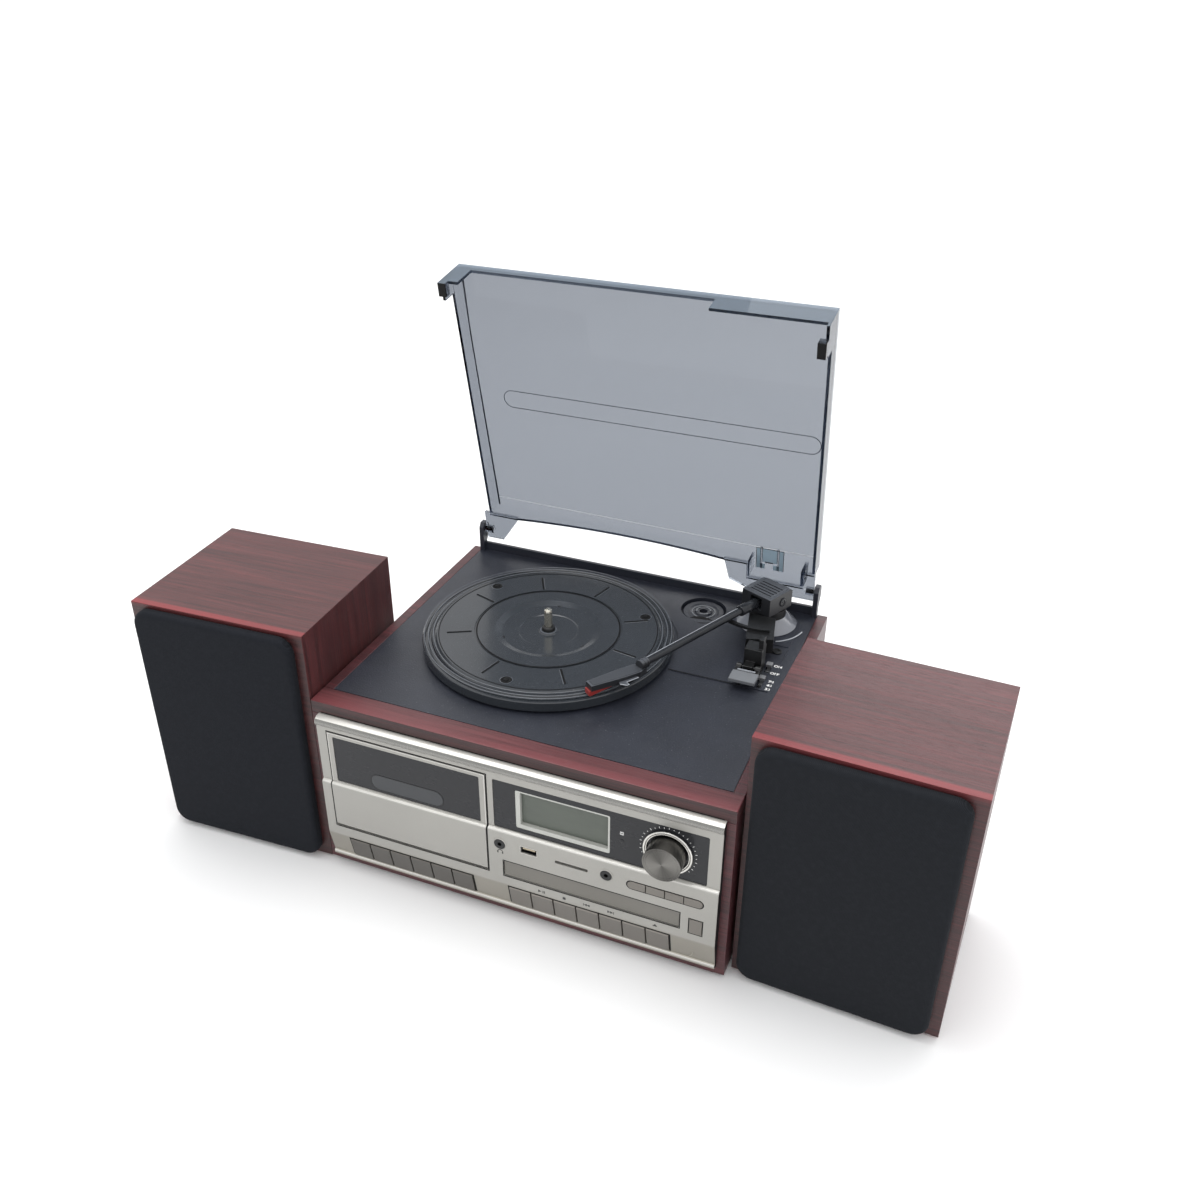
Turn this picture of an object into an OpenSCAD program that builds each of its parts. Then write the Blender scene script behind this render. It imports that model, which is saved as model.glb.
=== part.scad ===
// Stereo music centre: a wooden main unit with a turntable under a smoked lid,
// a cassette deck, a disc drawer and a tuner in its silver front, and two
// wooden speakers with black cloth grilles standing at its sides.
// X runs to the right, Y to the back and Z up. The floor is Z = 0.
// Depths count back from the wooden front face, which unit() then moves.

/* [Cabinet] */
// Outside width of the wooden cabinet
unit_w = 355; // [335:1:400]
// Outside depth of the wooden cabinet
unit_d = 287; // [284:1:320]
// Height of the wooden top edges above the floor
unit_h = 168.5; // [166:0.5:200]
// Thickness of the boards
board_t = 9; // [6:0.5:12]
// Height of the rubber feet
foot_h = 4; // [2:0.5:6]
// Depth of the wooden strip in front of the deck
rail_d = 20; // [14:1:26]
// Height of the wooden strip in front of the deck
rail_h = 11.5; // [8:0.5:13]

/* [Deck] */
// Thickness of the plastic deck plate
deck_t = 3; // [2.5:0.5:5]
// Height of the ledge along the back of the deck
ledge_h = 8; // [4:0.5:12]
// Sideways distance of the spindle from the arm's pivot
spindle_side = 166.5; // [158:0.5:176]
// Distance of the spindle ahead of the arm's pivot
spindle_ahead = 103; // [98:0.5:110]
// Radius of the spindle
spindle_r = 3.55; // [3.5:0.01:3.6]
// Height of the spindle's tip above the deck
spindle_h = 32; // [24:0.5:34]
// Radius of the platter
platter_r = 108; // [100:0.5:110]
// Height of the record surface above the deck
mat_h = 13.3; // [12:0.1:13.6]
// Distance of the deck motor from the spindle, to the left and ahead
motor_off = 59.5; // [56:0.5:64]
// Radius of the motor's pulley
pulley_r = 5; // [4:0.1:7]

/* [Tonearm] */
// Distance of the arm's pivot from the right side board
pivot_side = 39.5; // [38:0.5:44]
// Distance of the arm's pivot ahead of the cabinet's back
pivot_back = 30; // [30:0.5:36]
// Height of the tube's axis above the deck
tube_h = 27; // [26.5:0.1:28.5]
// Turn of the arm towards the platter, from straight ahead
arm_turn = 24.3; // [0:0.1:40]
// Radius of the tube
tube_r = 3.2; // [2.5:0.1:3.6]
// Length of the tube ahead of the pivot
tube_len = 155; // [145:1:165]
// Turn of the head inwards from the tube
head_turn = 13; // [0:1:20]
// Length of the head
head_len = 53; // [45:1:58]

/* [Lid] */
// Angle of the open lid from its closed place
lid_open = 80.4; // [0:0.1:85]
// Distance of the lid's front edge behind the front face, when closed
lid_front = 21.2; // [16:0.1:26]
// Height of the lid's top above its hinge when closed
lid_rise = 16.8; // [16.5:0.1:22]
// Thickness of the lid's walls
lid_t = 2.5; // [2:0.1:3]
// Depth of the lid's side walls below its top
lid_side = 19; // [18.8:0.1:24]
// Height of the hinge above the deck
hinge_h = 23.1; // [22.5:0.1:26]
// Radius of the hinge pins
hinge_r = 2; // [1.5:0.1:2.4]

/* [Front] */
// Height of the cassette door
door_h = 95.6; // [90:0.1:96]
// Pitch of the cassette keys
key_pitch = 19.3; // [17:0.1:19.6]
// Pitch of the function buttons
button_pitch = 19.45; // [17:0.05:20]
// Radius of the volume knob
knob_r = 14.8; // [12:0.1:16]
// Bore radius of the 3.5 mm sockets
jack_r = 1.78; // [1.75:0.01:1.85]

/* [Speakers] */
// Width of a speaker
spk_w = 160; // [140:1:180]
// Depth of a speaker's box
spk_d = 140; // [120:1:180]
// Height of a speaker with its pads
spk_h = 227; // [200:1:260]
// Height of a speaker's pads
pad_h = 2; // [1:0.5:4]
// Thickness of a grille
grille_t = 9; // [7:0.5:12]
// Radius of the grille's corners
grille_r = 13; // [6:0.5:20]
// Outside radius of a driver
driver_r = 55; // [45:1:60]

/* [Hidden] */
$fn = 64;
// Running clearance of a pin in its bore, on the radius
fit = 0.06;
// Clearance of a part beside or above another one
gap = 0.3;
// Distance of the wooden front face ahead of the origin
front_off = 140.5;
half_w = unit_w / 2;
in_half = half_w - board_t;
floor_z = foot_h + board_t;
rail_z = unit_h - rail_h;
deck_z = unit_h;
deck_under = deck_z - deck_t;
plate_z = deck_z + 0.6;
back_t = 3;
cleat_h = 12;
cleat_w = 10;

// Turntable: pivot, spindle, axle, ring under the platter, motor and adapter
pivot_x = in_half - pivot_side;
pivot_y = unit_d - pivot_back;
spindle_x = pivot_x - spindle_side;
spindle_y = pivot_y - spindle_ahead;
motor_x = spindle_x - motor_off;
motor_y = spindle_y - motor_off;
axle_r = spindle_r - 0.4;
ring_r = 58.5;
ring_t = 2.5;
shaft_r = 1;
adapter = [pivot_x - 58, unit_d - 32];
adapter_r = 19;
recess_r = adapter_r + 1.6;

// Tonearm: stem, cross pin, rest, cue lever and lift, from the pivot's place
stem_r = 4;
pin_r = 1.5;
block_z = 18.3;
block_top = 35.5;
rest = [pivot_x + 10, pivot_y - 78.2];
rest_half = [7.5, 7.2];
cradle_z = tube_h - tube_r - gap;
lever = [rest[0] - 1.6, rest[1] - 11.7, 8.5];
lift = [pivot_x + 4, pivot_y - 52];
lift_r = 4;
head_z = tube_h - 7.4;

// Slide switches: their sunk strip, places and half size
switch_x = in_half - 18.5;
switch_y = [rest[1] - 26.8, rest[1] + 43.2];
speed_y = rest[1] - 11.8;
stop_y = rest[1] + 9.7;
knob_half = 2.6;

// Lid: hinge line, walls, feet and the pocket for the arm's turning head
hinge_y = unit_d - 1;
hinge_z = deck_z + hinge_h;
lid_half = in_half - 5.5;
lid_len = hinge_y - lid_front;
lid_back = -18;
lid_foot = 17.2;
knuckle_r = 4;
knuckle_w = 7;
pocket = [pivot_x - 28, pivot_x + 24];

// Silver front: its planes, skin, lower edge and top edge
front_half = half_w - 7;
// Widths and sideways places on the front follow the front's own width
share = front_half / 170.5;
upper_y = -6;
lower_y = -8.5;
skin = 3;
front_z = floor_z - 1;
front_top = rail_z + 1;
ledge_z = front_z + 84;
board_y = 7;
// Openings in the silver front: middle x, middle z, width, height
door_box = [80 * share - front_half, front_z + 38.3 + door_h / 2, 142 * share, door_h];
door_window = [door_box[0] - 0.2, door_box[1] + door_h / 2 - 26.5, 131 * share, 44.2];
window_box = [front_half - 97 * share, front_z + 108, 174 * share, 47];
tray_box = [front_half - 102.4 * share, front_z + 45.5, 147.2 * share, 15.8];
mode_box = [front_half - 41.3 * share, front_z + 67, 60.5 * share, 7.6];
power_box = [front_half - 15.9 * share, front_z + 43, 10.6 * share, 14.6];
usb_box = [front_half - 153.5 * share, front_z + 70.6, 13.8, 6.3];
card_box = [front_half - 117.5 * share, front_z + 68, 27.6, 2.8];
lcd_box = [front_half - 126.2 * share, front_z + 107.3, 78 * share, 36.8];
phones_at = [front_half - 178.5 * share, front_z + 70];
aux_at = [front_half - 88.5 * share, front_z + 69.5];
knob_at = [front_half - 41 * share, front_z + 107.6];
// Posts for the front board: x, z and where they start
board_posts = [
    [front_half - 182.5 * share, front_z + 135.5, upper_y + 1],
    [front_half - 7.5 * share, front_z + 135.5, upper_y + 1],
    [front_half - 6.6 * share, front_z + 58, lower_y + 1],
    [front_half - 184.5 * share, front_z + 58.5, lower_y + 1],
    [front_half - 70.5 * share, front_z + 79, lower_y + 1]
];
// Rows of keys and buttons: left end, number, and the row's bottom and top
key_x0 = 20.4 * share - front_half;
key_n = 6;
button_x0 = front_half - 172.4 * share;
button_n = 7;
row_z = [front_z + 5.6, front_z + 26.4];
key_gap = 1.1;
mode_n = 4;
mode_w = mode_box[2] / mode_n;
// Hinge line of the cassette door: depth and height
door_hinge = [-7, front_z + 41];
door_pin_r = 0.9;

// Speakers: inner front corner, turn about it, and middle of the front edge
left_turn = 2.5;
right_turn = -2.3;
left_corner = [-half_w - 1, 1.2];
right_corner = [half_w + 2.4, 12.3];
left_at = left_corner - spk_w / 2 * [cos(left_turn), sin(left_turn)];
right_at = right_corner + spk_w / 2 * [cos(right_turn), sin(right_turn)];
driver_z = spk_h / 2 - 9.5;
grille_side = 5;
grille_edge = 3.5;

// Outline of a rectangle with round corners, around its middle
function rounded(w, h, r, n = 5) = [
    for (q = [0:3])
    for (k = [0:n])
    let (
        a = 90 * (q + k / n),
        cx = (q == 0 || q == 3 ? 1 : -1) * (w / 2 - r),
        cy = (q < 2 ? 1 : -1) * (h / 2 - r)
    )
    [cx + r * cos(a), cy + r * sin(a)]
];

// Moves depths from the wooden front face to the origin
module unit() {
    translate([0, -front_off, 0])
        children();
}

// Outline in X and Z, thick from y0 to y1
module upright(points, y0, y1) {
    translate([0, y1, 0])
        rotate([90, 0, 0])
        linear_extrude(y1 - y0)
        polygon(points);
}

// Outline in Y and Z, wide from x0 to x1
module side_shape(points, x0, x1) {
    translate([x0, 0, 0])
        rotate([90, 0, 90])
        linear_extrude(x1 - x0)
        polygon(points);
}

// Outline in X and Y, high from z0 to z1
module flat(points, z0, z1) {
    translate([0, 0, z0])
        linear_extrude(z1 - z0)
        polygon(points);
}

// Block between two corners
module block(a, b) {
    translate(a)
        cube(b - a);
}

// Round bars along X, Y and Z
module bar_x(y, z, r, x0, x1) {
    translate([x0, y, z])
        rotate([0, 90, 0])
        cylinder(r = r, h = x1 - x0);
}

module bar_y(x, z, r, y0, y1) {
    translate([x, y0, z])
        rotate([-90, 0, 0])
        cylinder(r = r, h = y1 - y0);
}

module bar_z(p, r, z0, z1) {
    translate([p[0], p[1], z0])
        cylinder(r = r, h = z1 - z0);
}

// Rounded opening or plate in the front, given as [x, z, w, h], grown by g
module front_box(b, r, y0, y1, g = 0) {
    translate([b[0], 0, b[1]])
        upright(rounded(b[2] + 2 * g, b[3] + 2 * g, r), y0, y1);
}

// Side board with the cleat that carries the deck plate
module side_board() {
    side_shape([
        [0, foot_h], [unit_d, foot_h], [unit_d, unit_h],
        [rail_d, unit_h], [rail_d, rail_z], [0, rail_z]
    ], 0, board_t);
    block([-cleat_w, rail_d + 8, deck_under - cleat_h], [0.01, unit_d - back_t - 1, deck_under]);
}

module side_board_left() {
    color([0.36, 0.15, 0.16])
        unit()
        translate([-in_half, 0, 0])
        mirror([1, 0, 0])
        side_board();
}

module side_board_right() {
    color([0.36, 0.15, 0.16])
        unit()
        translate([in_half, 0, 0])
        side_board();
}

// Wooden strip along the top of the front, with a lip under the deck plate
module front_rail() {
    color([0.5, 0.24, 0.24])
        unit() {
            block([-half_w, 0, rail_z], [half_w, rail_d, unit_h]);
            block([-in_half, rail_d - 1, rail_z], [in_half, rail_d + 8, deck_under]);
        }
}

module bottom_board() {
    color([0.33, 0.14, 0.15])
        unit()
        block([-in_half, 0, foot_h], [in_half, unit_d - back_t, floor_z]);
}

// Back wall with its vents, line output pair, speaker clips and mains inlet
module rear_panel() {
    y0 = unit_d - back_t;
    inlet = [34.5 - in_half, floor_z + 24];
    vents = [38.5 - in_half, 72.5 - in_half];
    vent_z = deck_under - 69.5;
    line_out_x = in_half - 48.5;
    clips = [in_half - 118.5, floor_z + 21, in_half - 76.5, floor_z + 49];
    color([0.12, 0.12, 0.13])
        unit() {
            difference() {
                block([-in_half, y0, foot_h], [in_half, unit_d, deck_under]);
                for (i = [0:5])
                    block([vents[0], y0 - 1, vent_z + 8 * i], [vents[1], unit_d + 1, vent_z + 8 * i + 3.5]);
                block([inlet[0] - 12, y0 - 1, inlet[1] - 7], [inlet[0] + 12, unit_d + 1, inlet[1] + 7]);
            }
            // mains inlet with its two pins
            difference() {
                block([inlet[0] - 13, y0 - 9, inlet[1] - 8], [inlet[0] + 13, unit_d + 1, inlet[1] + 8]);
                block([inlet[0] - 10.5, y0 - 6, inlet[1] - 5.5],
                    [inlet[0] + 10.5, unit_d + 2, inlet[1] + 5.5]);
            }
            for (s = [-4.2, 4.2])
                bar_y(inlet[0] + s, inlet[1], 1.2, y0 - 7, unit_d - 2);
            // line output pair
            for (z = [inlet[1] + 3, inlet[1] + 19])
                difference() {
                    bar_y(line_out_x, z, 4.15, unit_d - 1, unit_d + 8);
                    bar_y(line_out_x, z, 1.6, unit_d + 0.5, unit_d + 9);
                }
            // speaker clips
            difference() {
                block([clips[0], unit_d - 1, clips[1]], [clips[2], unit_d + 6, clips[3]]);
                for (x = [clips[0] + 11, clips[2] - 11])
                    for (z = [clips[1] + 7, clips[3] - 7])
                        bar_y(x, z, 2.2, unit_d + 1, unit_d + 7);
            }
        }
}

module unit_feet() {
    color([0.06, 0.06, 0.06])
        unit()
        for (x = [32.5 - half_w, half_w - 32.5])
            for (y = [30, unit_d - 32])
                bar_z([x, y], 9, 0, foot_h);
}

// Plastic deck with its ledge, raised plate, bearing boss and hinge brackets
module deck_plate() {
    edge = in_half - 0.2;
    color([0.16, 0.17, 0.19])
        unit()
        difference() {
            union() {
                block([-edge, rail_d + 0.2, deck_under], [edge, unit_d, deck_z]);
                block([-edge, unit_d - back_t, deck_under], [edge, unit_d, deck_z + ledge_h]);
                raised_plate();
                bar_z([spindle_x, spindle_y], 9, deck_z - 26, deck_z + 0.8);
                bar_z(adapter, recess_r + 3, deck_under - 3.5, deck_z - 1);
                bar_z(lift, lift_r + 3, deck_under - 12, deck_z - 1);
                hinge_bracket(lid_half + 1, edge, lid_half - knuckle_w + 0.4, lid_half + 2);
                hinge_bracket(-edge, -lid_half - 1, -lid_half - 2, knuckle_w - 0.4 - lid_half);
            }
            bar_z([spindle_x, spindle_y], axle_r + fit, deck_z - 30, deck_z + 10);
            bar_z([motor_x, motor_y], pulley_r + 2, deck_under - 1, deck_z + 1);
            bar_z(adapter, recess_r, deck_under - 1.5, deck_z + 5);
            bar_z([adapter[0] + 4, adapter[1] - 15], 9, deck_under + 1, deck_z + 5);
            bar_z(lift, lift_r + fit, deck_under - 20, deck_z + 5);
            // sunk strip for the slide switches, and their slots
            block([switch_x - 7, switch_y[0], deck_z + 0.1], [switch_x + 8, switch_y[1], plate_z + 1]);
            switch_slot(switch_x - 0.5, speed_y - 13.2, speed_y + 3);
            switch_slot(switch_x, stop_y - 10.5, stop_y + 3.5);
        }
}

module switch_slot(x, y0, y1) {
    block([x - 2.1, y0, deck_under - 1], [x + 2.1, y1, deck_z + 1]);
}

// Thin raised plate around the arm, clear of the platter
module raised_plate() {
    x = adapter[0];
    right = in_half - 10;
    back = unit_d - 6;
    front = switch_y[0] - 1.5;
    difference() {
        flat([
            [x + 1, front], [right, front], [right, back - 31], [right - 2.5, back - 15],
            [right - 8.5, back - 5], [right - 17.5, back], [x - 9, back], [x - 25, back - 1.5],
            [x - 39, back - 8], [x - 51, back - 16]
        ], deck_z - 0.5, plate_z);
        bar_z([spindle_x, spindle_y], platter_r + 5, deck_z - 1, deck_z + 2);
    }
}

// Bracket and pin at one end of the lid's hinge
module hinge_bracket(x0, x1, p0, p1) {
    side_shape([
        [hinge_y - 6, deck_under], [unit_d, deck_under], [unit_d, deck_z + 9],
        [hinge_y + 6.5, hinge_z - 6], [hinge_y + 6.5, hinge_z + 3],
        [hinge_y + 3, hinge_z + 6.5], [hinge_y - 3, hinge_z + 6.5],
        [hinge_y - 6, hinge_z + 2]
    ], x0, x1);
    bar_x(hinge_y, hinge_z, hinge_r, p0, p1);
}

// Sliding knob with the slider under the deck
module slide_knob(x, y) {
    h = knob_half;
    block([x - h, y - h, deck_z + 0.4], [x + h, y + h, deck_z + 3]);
    block([x - 1.7, y - 1.8, deck_under - 2], [x + 1.7, y + 1.8, deck_z + 0.5]);
    block([x - 4.5, y - 4, deck_under - 3.6], [x + 4.5, y + 4, deck_under - 0.2]);
}

module speed_switch() {
    color([0.35, 0.36, 0.37])
        unit()
        slide_knob(switch_x - 0.5, speed_y);
}

module autostop_switch() {
    color([0.35, 0.36, 0.37])
        unit()
        slide_knob(switch_x, stop_y);
}

// Adapter for large-hole records, in its recess
module adapter_45() {
    r = adapter_r;
    hole = spindle_r + 0.1;
    color([0.13, 0.14, 0.15])
        unit()
        translate([adapter[0], adapter[1], deck_under - 1.4])
        rotate_extrude()
        polygon([
            [hole, 0], [r, 0], [r, 2.2], [r - 1, 3], [r - 5, 3],
            [r - 6.5, 2.2], [8, 2.2], [7.2, 3.4], [hole, 3.4]
        ]);
}

// Platter with its sunk middle, grooves, rim and the ring that the belt drives
module platter() {
    r = platter_r;
    rim = mat_h - 2.8;
    under = mat_h - 5.7;
    hole = axle_r + 0.03;
    color([0.13, 0.135, 0.15])
        unit()
        translate([spindle_x, spindle_y, deck_z])
        rotate_extrude()
        polygon([
            [hole, mat_h - 2.2], [8, mat_h - 2.2], [8.8, mat_h - 3],
            [25, mat_h - 3], [26, mat_h - 2.5], [40, mat_h - 2.1], [46, mat_h],
            [62.5, mat_h], [62.5, mat_h - 0.8], [63.7, mat_h - 0.8],
            [63.7, mat_h], [r - 12.5, mat_h], [r - 11, mat_h - 1.3], [r - 8.5, mat_h - 1.3],
            [r - 7.5, rim], [r - 3.8, rim], [r - 3.8, rim - 0.7], [r - 2.7, rim - 0.7],
            [r - 2.7, rim], [r - 0.7, rim], [r, rim - 0.7],
            [r, 2.4], [r - 2.3, 2.4], [r - 2.3, under],
            [ring_r, under], [ring_r, 2.2], [ring_r - ring_t, 2.2], [ring_r - ring_t, under],
            [9, under], [9, 1.2], [hole, 1.2]
        ]);
}

// Spindle with a thinner axle through the platter's hub and the bearing
module spindle() {
    r = spindle_r;
    h = spindle_h;
    seat = mat_h - 2.1;
    color([0.75, 0.74, 0.7])
        unit()
        translate([spindle_x, spindle_y, deck_z])
        rotate_extrude()
        polygon([
            [0, -24], [axle_r - 0.5, -24], [axle_r, -23.5], [axle_r, seat], [r, seat],
            [r, h - 2.4], [r - 0.4, h - 1.2], [r - 1.3, h - 0.3], [r - 2.3, h], [0, h]
        ]);
}

// Flat belt around the platter's inner ring and the motor's pulley
module drive_belt() {
    slack = 0.25;
    belt_t = 0.7;
    color([0.05, 0.05, 0.05])
        unit()
        difference() {
            belt_loop(slack + belt_t, 3, 6.2);
            belt_loop(slack, 2, 8);
        }
}

module belt_loop(grow, z0, z1) {
    hull() {
        translate([spindle_x, spindle_y, deck_z + z0])
            cylinder(r = ring_r + grow, h = z1 - z0, $fn = 60);
        translate([motor_x, motor_y, deck_z + z0])
            cylinder(r = pulley_r + grow, h = z1 - z0, $fn = 24);
    }
}

module deck_motor() {
    at = [motor_x, motor_y];
    color([0.55, 0.56, 0.57])
        unit()
        difference() {
            union() {
                bar_z(at, 15, deck_under - 24, deck_under - 4);
                bar_z(at, 20, deck_under - 4.1, deck_under);
            }
            bar_z(at, shaft_r + fit, deck_under - 12, deck_under + 2);
        }
}

module motor_pulley() {
    at = [motor_x, motor_y];
    color([0.72, 0.63, 0.38])
        unit() {
            bar_z(at, shaft_r, deck_under - 11.5, deck_z + 2);
            bar_z(at, pulley_r, deck_z + 1.6, deck_z + 6.8);
        }
}

// Straight-ahead arm turned to its place
module at_pivot() {
    unit()
        translate([pivot_x, pivot_y, deck_z])
        rotate([0, 0, -arm_turn])
        children();
}

// Head turned inwards from the tube's end
module at_head() {
    at_pivot()
        translate([0.5, -tube_len, 0])
        rotate([0, 0, -head_turn])
        children();
}

module arm_base() {
    bore = stem_r + fit;
    top = deck_z + block_z - gap;
    color([0.12, 0.12, 0.13])
        unit()
        translate([pivot_x, pivot_y, 0])
        rotate_extrude()
        polygon([
            [bore, plate_z], [22, plate_z], [22, plate_z + 4], [20, plate_z + 5.4],
            [17.5, plate_z + 5.4], [16, plate_z + 8], [16, top], [bore, top]
        ]);
}

// Turning head of the arm, with a ribbed top, the cross pin and its stem
module arm_block() {
    color([0.15, 0.15, 0.16])
        at_pivot() {
            difference() {
                flat([
                    [-15.5, -18], [15.5, -18], [15.5, 13], [10.5, 18],
                    [-10.5, 18], [-15.5, 13]
                ], block_z, block_top);
                block([-6, -19, tube_h - 5.5], [6, 11, tube_h + 6]);
                for (i = [0:4])
                    block([-11, -12.6 + 4 * i, block_top - 0.9], [11, -11 + 4 * i, block_top + 1]);
                // sloped back edge that stays clear of the closed lid
                side_shape([
                    [11, block_top], [20, block_top - 7], [20, block_top + 1], [11, block_top + 1]
                ], -16, 16);
            }
            bar_x(0, tube_h, pin_r, -15, 15);
            bar_z([0, 0], stem_r, 6, block_z + 1);
        }
}

module arm_tube() {
    hub_r = tube_r + 1.2;
    color([0.2, 0.2, 0.21])
        at_pivot()
        difference() {
            union() {
                bar_y(0, tube_h, tube_r, -tube_len, 6);
                bar_x(0, tube_h, hub_r, -5.4, 5.4);
                bar_y(0, tube_h, hub_r, 3, 9);
            }
            bar_x(0, tube_h, pin_r + fit, -8, 8);
        }
}

// Head with its collar on the tube's end and its finger lift
module headshell() {
    color([0.14, 0.14, 0.15]) {
        at_pivot()
            bar_y(0, tube_h, tube_r + 0.8, -tube_len - 7, -tube_len);
        at_head() {
            flat([
                [-3, -1], [3, -1], [6.3, -9], [6.3, -24], [4.4, -head_len],
                [-4.4, -head_len], [-6.3, -24], [-6.3, -9]
            ], head_z, head_z + 4.9);
            block([-3, -6, head_z + 1], [3, -1, tube_h + 2.6]);
            flat([
                [6, -12], [6, -29], [9, -30], [13.5, -26],
                [13.5, -24], [9.5, -24], [8.5, -12]
            ], head_z + 0.8, head_z + 2);
        }
    }
}

module stylus() {
    tip = -head_len - 1.5;
    color([0.62, 0.12, 0.1])
        at_head()
        side_shape([
            [tip, head_z - 4.6], [tip + 2, head_z - 4.6], [tip + 20.5, head_z - 2],
            [tip + 20.5, head_z], [tip, head_z]
        ], -3.6, 3.6);
}

// Post with the cradle that holds the arm at rest, and the cue lever's pin
module arm_rest() {
    x0 = rest[0] - rest_half[0];
    x1 = rest[0] + rest_half[0];
    y0 = rest[1] - rest_half[1];
    y1 = rest[1] + rest_half[1];
    color([0.11, 0.11, 0.12])
        unit() {
            block([x0, y0, plate_z], [x1, y1, deck_z + cradle_z]);
            // upright prong on the outer side
            block([x1 - 3.9, y0 + 3.5, deck_z + cradle_z - 0.1], [x1, y1 - 3, deck_z + cradle_z + 8.5]);
            // lug and pin of the cue lever
            block([lever[0] - 4, lever[1] - 4, deck_z + 5], [lever[0] + 4, y0 + 0.1, deck_z + 12]);
            bar_x(lever[1], deck_z + lever[2], pin_r, lever[0] - 10.6, lever[0] + 10.6);
        }
}

module cue_lever() {
    arm_w = 4.4;
    z0 = deck_z + lever[2] - 1.2;
    z1 = deck_z + lever[2] + 1.2;
    color([0.42, 0.43, 0.44])
        unit()
        difference() {
            union() {
                block([lever[0] - 10.8, lever[1] - 22.5, z0], [lever[0] + 10.8, lever[1] - 8.5, z1]);
                for (x = [lever[0] - 10.2, lever[0] + 10.2 - arm_w]) {
                    block([x, lever[1] - 10, z0], [x + arm_w, lever[1], z1]);
                    bar_x(lever[1], deck_z + lever[2], pin_r + 1.5, x, x + arm_w);
                }
            }
            bar_x(lever[1], deck_z + lever[2], pin_r + fit, lever[0] - 15, lever[0] + 15);
        }
}

// Platform under the tube that raises the arm, with its column
module lift_platform() {
    bar_r = 50;
    color([0.11, 0.11, 0.12])
        unit() {
            translate([lift[0], lift[1], deck_z])
                flat([[-14, 26.5], [9.5, 26.5], [16.5, -8], [-5.5, -15]], 7.5, 21);
            translate([pivot_x, pivot_y, deck_z])
                flat([
                    for (a = [-16:8:32]) [-bar_r * sin(a), -bar_r * cos(a)],
                    for (a = [32:-8:-16]) [-(bar_r + 3) * sin(a), -(bar_r + 3) * cos(a)]
                ], 20.9, cradle_z);
            bar_z(lift, lift_r, deck_z - 12, deck_z + 11);
        }
}

// Lid in its closed place, around its hinge line
module closed_lid() {
    top = lid_rise;
    low = lid_rise - lid_side;
    t = lid_t;
    w = lid_half;
    taper = 7;
    difference() {
        union() {
            flat([[-w, -lid_len], [w, -lid_len], [w, lid_back], [taper - w, lid_back]], low, top);
            // pocket that clears the arm's turning head
            block([pocket[0], lid_back - 1, low], [pocket[1], -2, top]);
        }
        flat([
            [t - w, t - lid_len], [w - t, t - lid_len],
            [w - t, lid_back - t], [taper - w + t, lid_back - t]
        ], low - 1, top - t);
        block([pocket[0] + t, lid_back - 5, low - 1], [pocket[1] - t, -2 - t, top - t]);
        // arched cut in the back wall
        translate([-23, lid_back + 2, low + 6 - 904])
            rotate([90, 0, 0])
            cylinder(r = 904, h = 6);
        // long cut in the front wall
        block([16 - w, -lid_len - 1, low - 1], [w - 96, t - lid_len + 1, top - 9.5]);
    }
    lid_feet(low);
    // ribs inside the pocket
    for (x = [pocket[0] + 8.5, pocket[0] + 24])
        block([x, -29, top - t - 1.1], [x + 1.6, -4, top - t + 0.1]);
    lid_tabs();
}

// Deeper front corners of the lid with their rubber pads
module lid_feet(low) {
    t = lid_t;
    w = lid_half;
    y0 = -lid_len;
    pad_z = gap - hinge_h;
    block([w - 96, y0, low - 7], [w, y0 + t, low + 0.1]);
    block([-w, y0, -lid_foot], [16 - w, y0 + t, low + 0.1]);
    block([-w, y0, -lid_foot], [t - w, y0 + 18, low + 0.1]);
    block([-w, y0, pad_z], [7 - w, y0 + 12, 1 - lid_foot]);
    block([w - t, y0, 2 - lid_foot], [w, y0 + 26, low + 0.1]);
    block([w - 7, y0 + 11, pad_z], [w, y0 + 24, 3 - lid_foot]);
}

// Tabs behind the back wall that end in the hinge knuckles
module lid_tabs() {
    w = lid_half;
    x = pocket[0];
    y0 = lid_back - 1;
    difference() {
        union() {
            flat([[-w, y0], [35 - w, y0], [34 - w, -14], [17 - w, 11], [-w, 11]], 0, 3);
            flat([[x - 22, y0], [x + 1, y0], [x + 1, 11], [x - 17, 4]], 0, 3);
            block([x, -3, 0], [w, 11, 3]);
            block([pocket[1] - 1, y0, 0], [w, 0, 3]);
            bar_x(0, 0, knuckle_r, -w, knuckle_w - w);
            bar_x(0, 0, knuckle_r, w - knuckle_w, w);
        }
        bar_x(0, 0, hinge_r + fit, -w - 1, knuckle_w + 2 - w);
        bar_x(0, 0, hinge_r + fit, w - knuckle_w - 2, w + 1);
    }
}

module lid() {
    color([0.55, 0.6, 0.68, 0.6])
        unit()
        translate([0, hinge_y, hinge_z])
        rotate([-lid_open, 0, 0])
        closed_lid();
}

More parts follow.
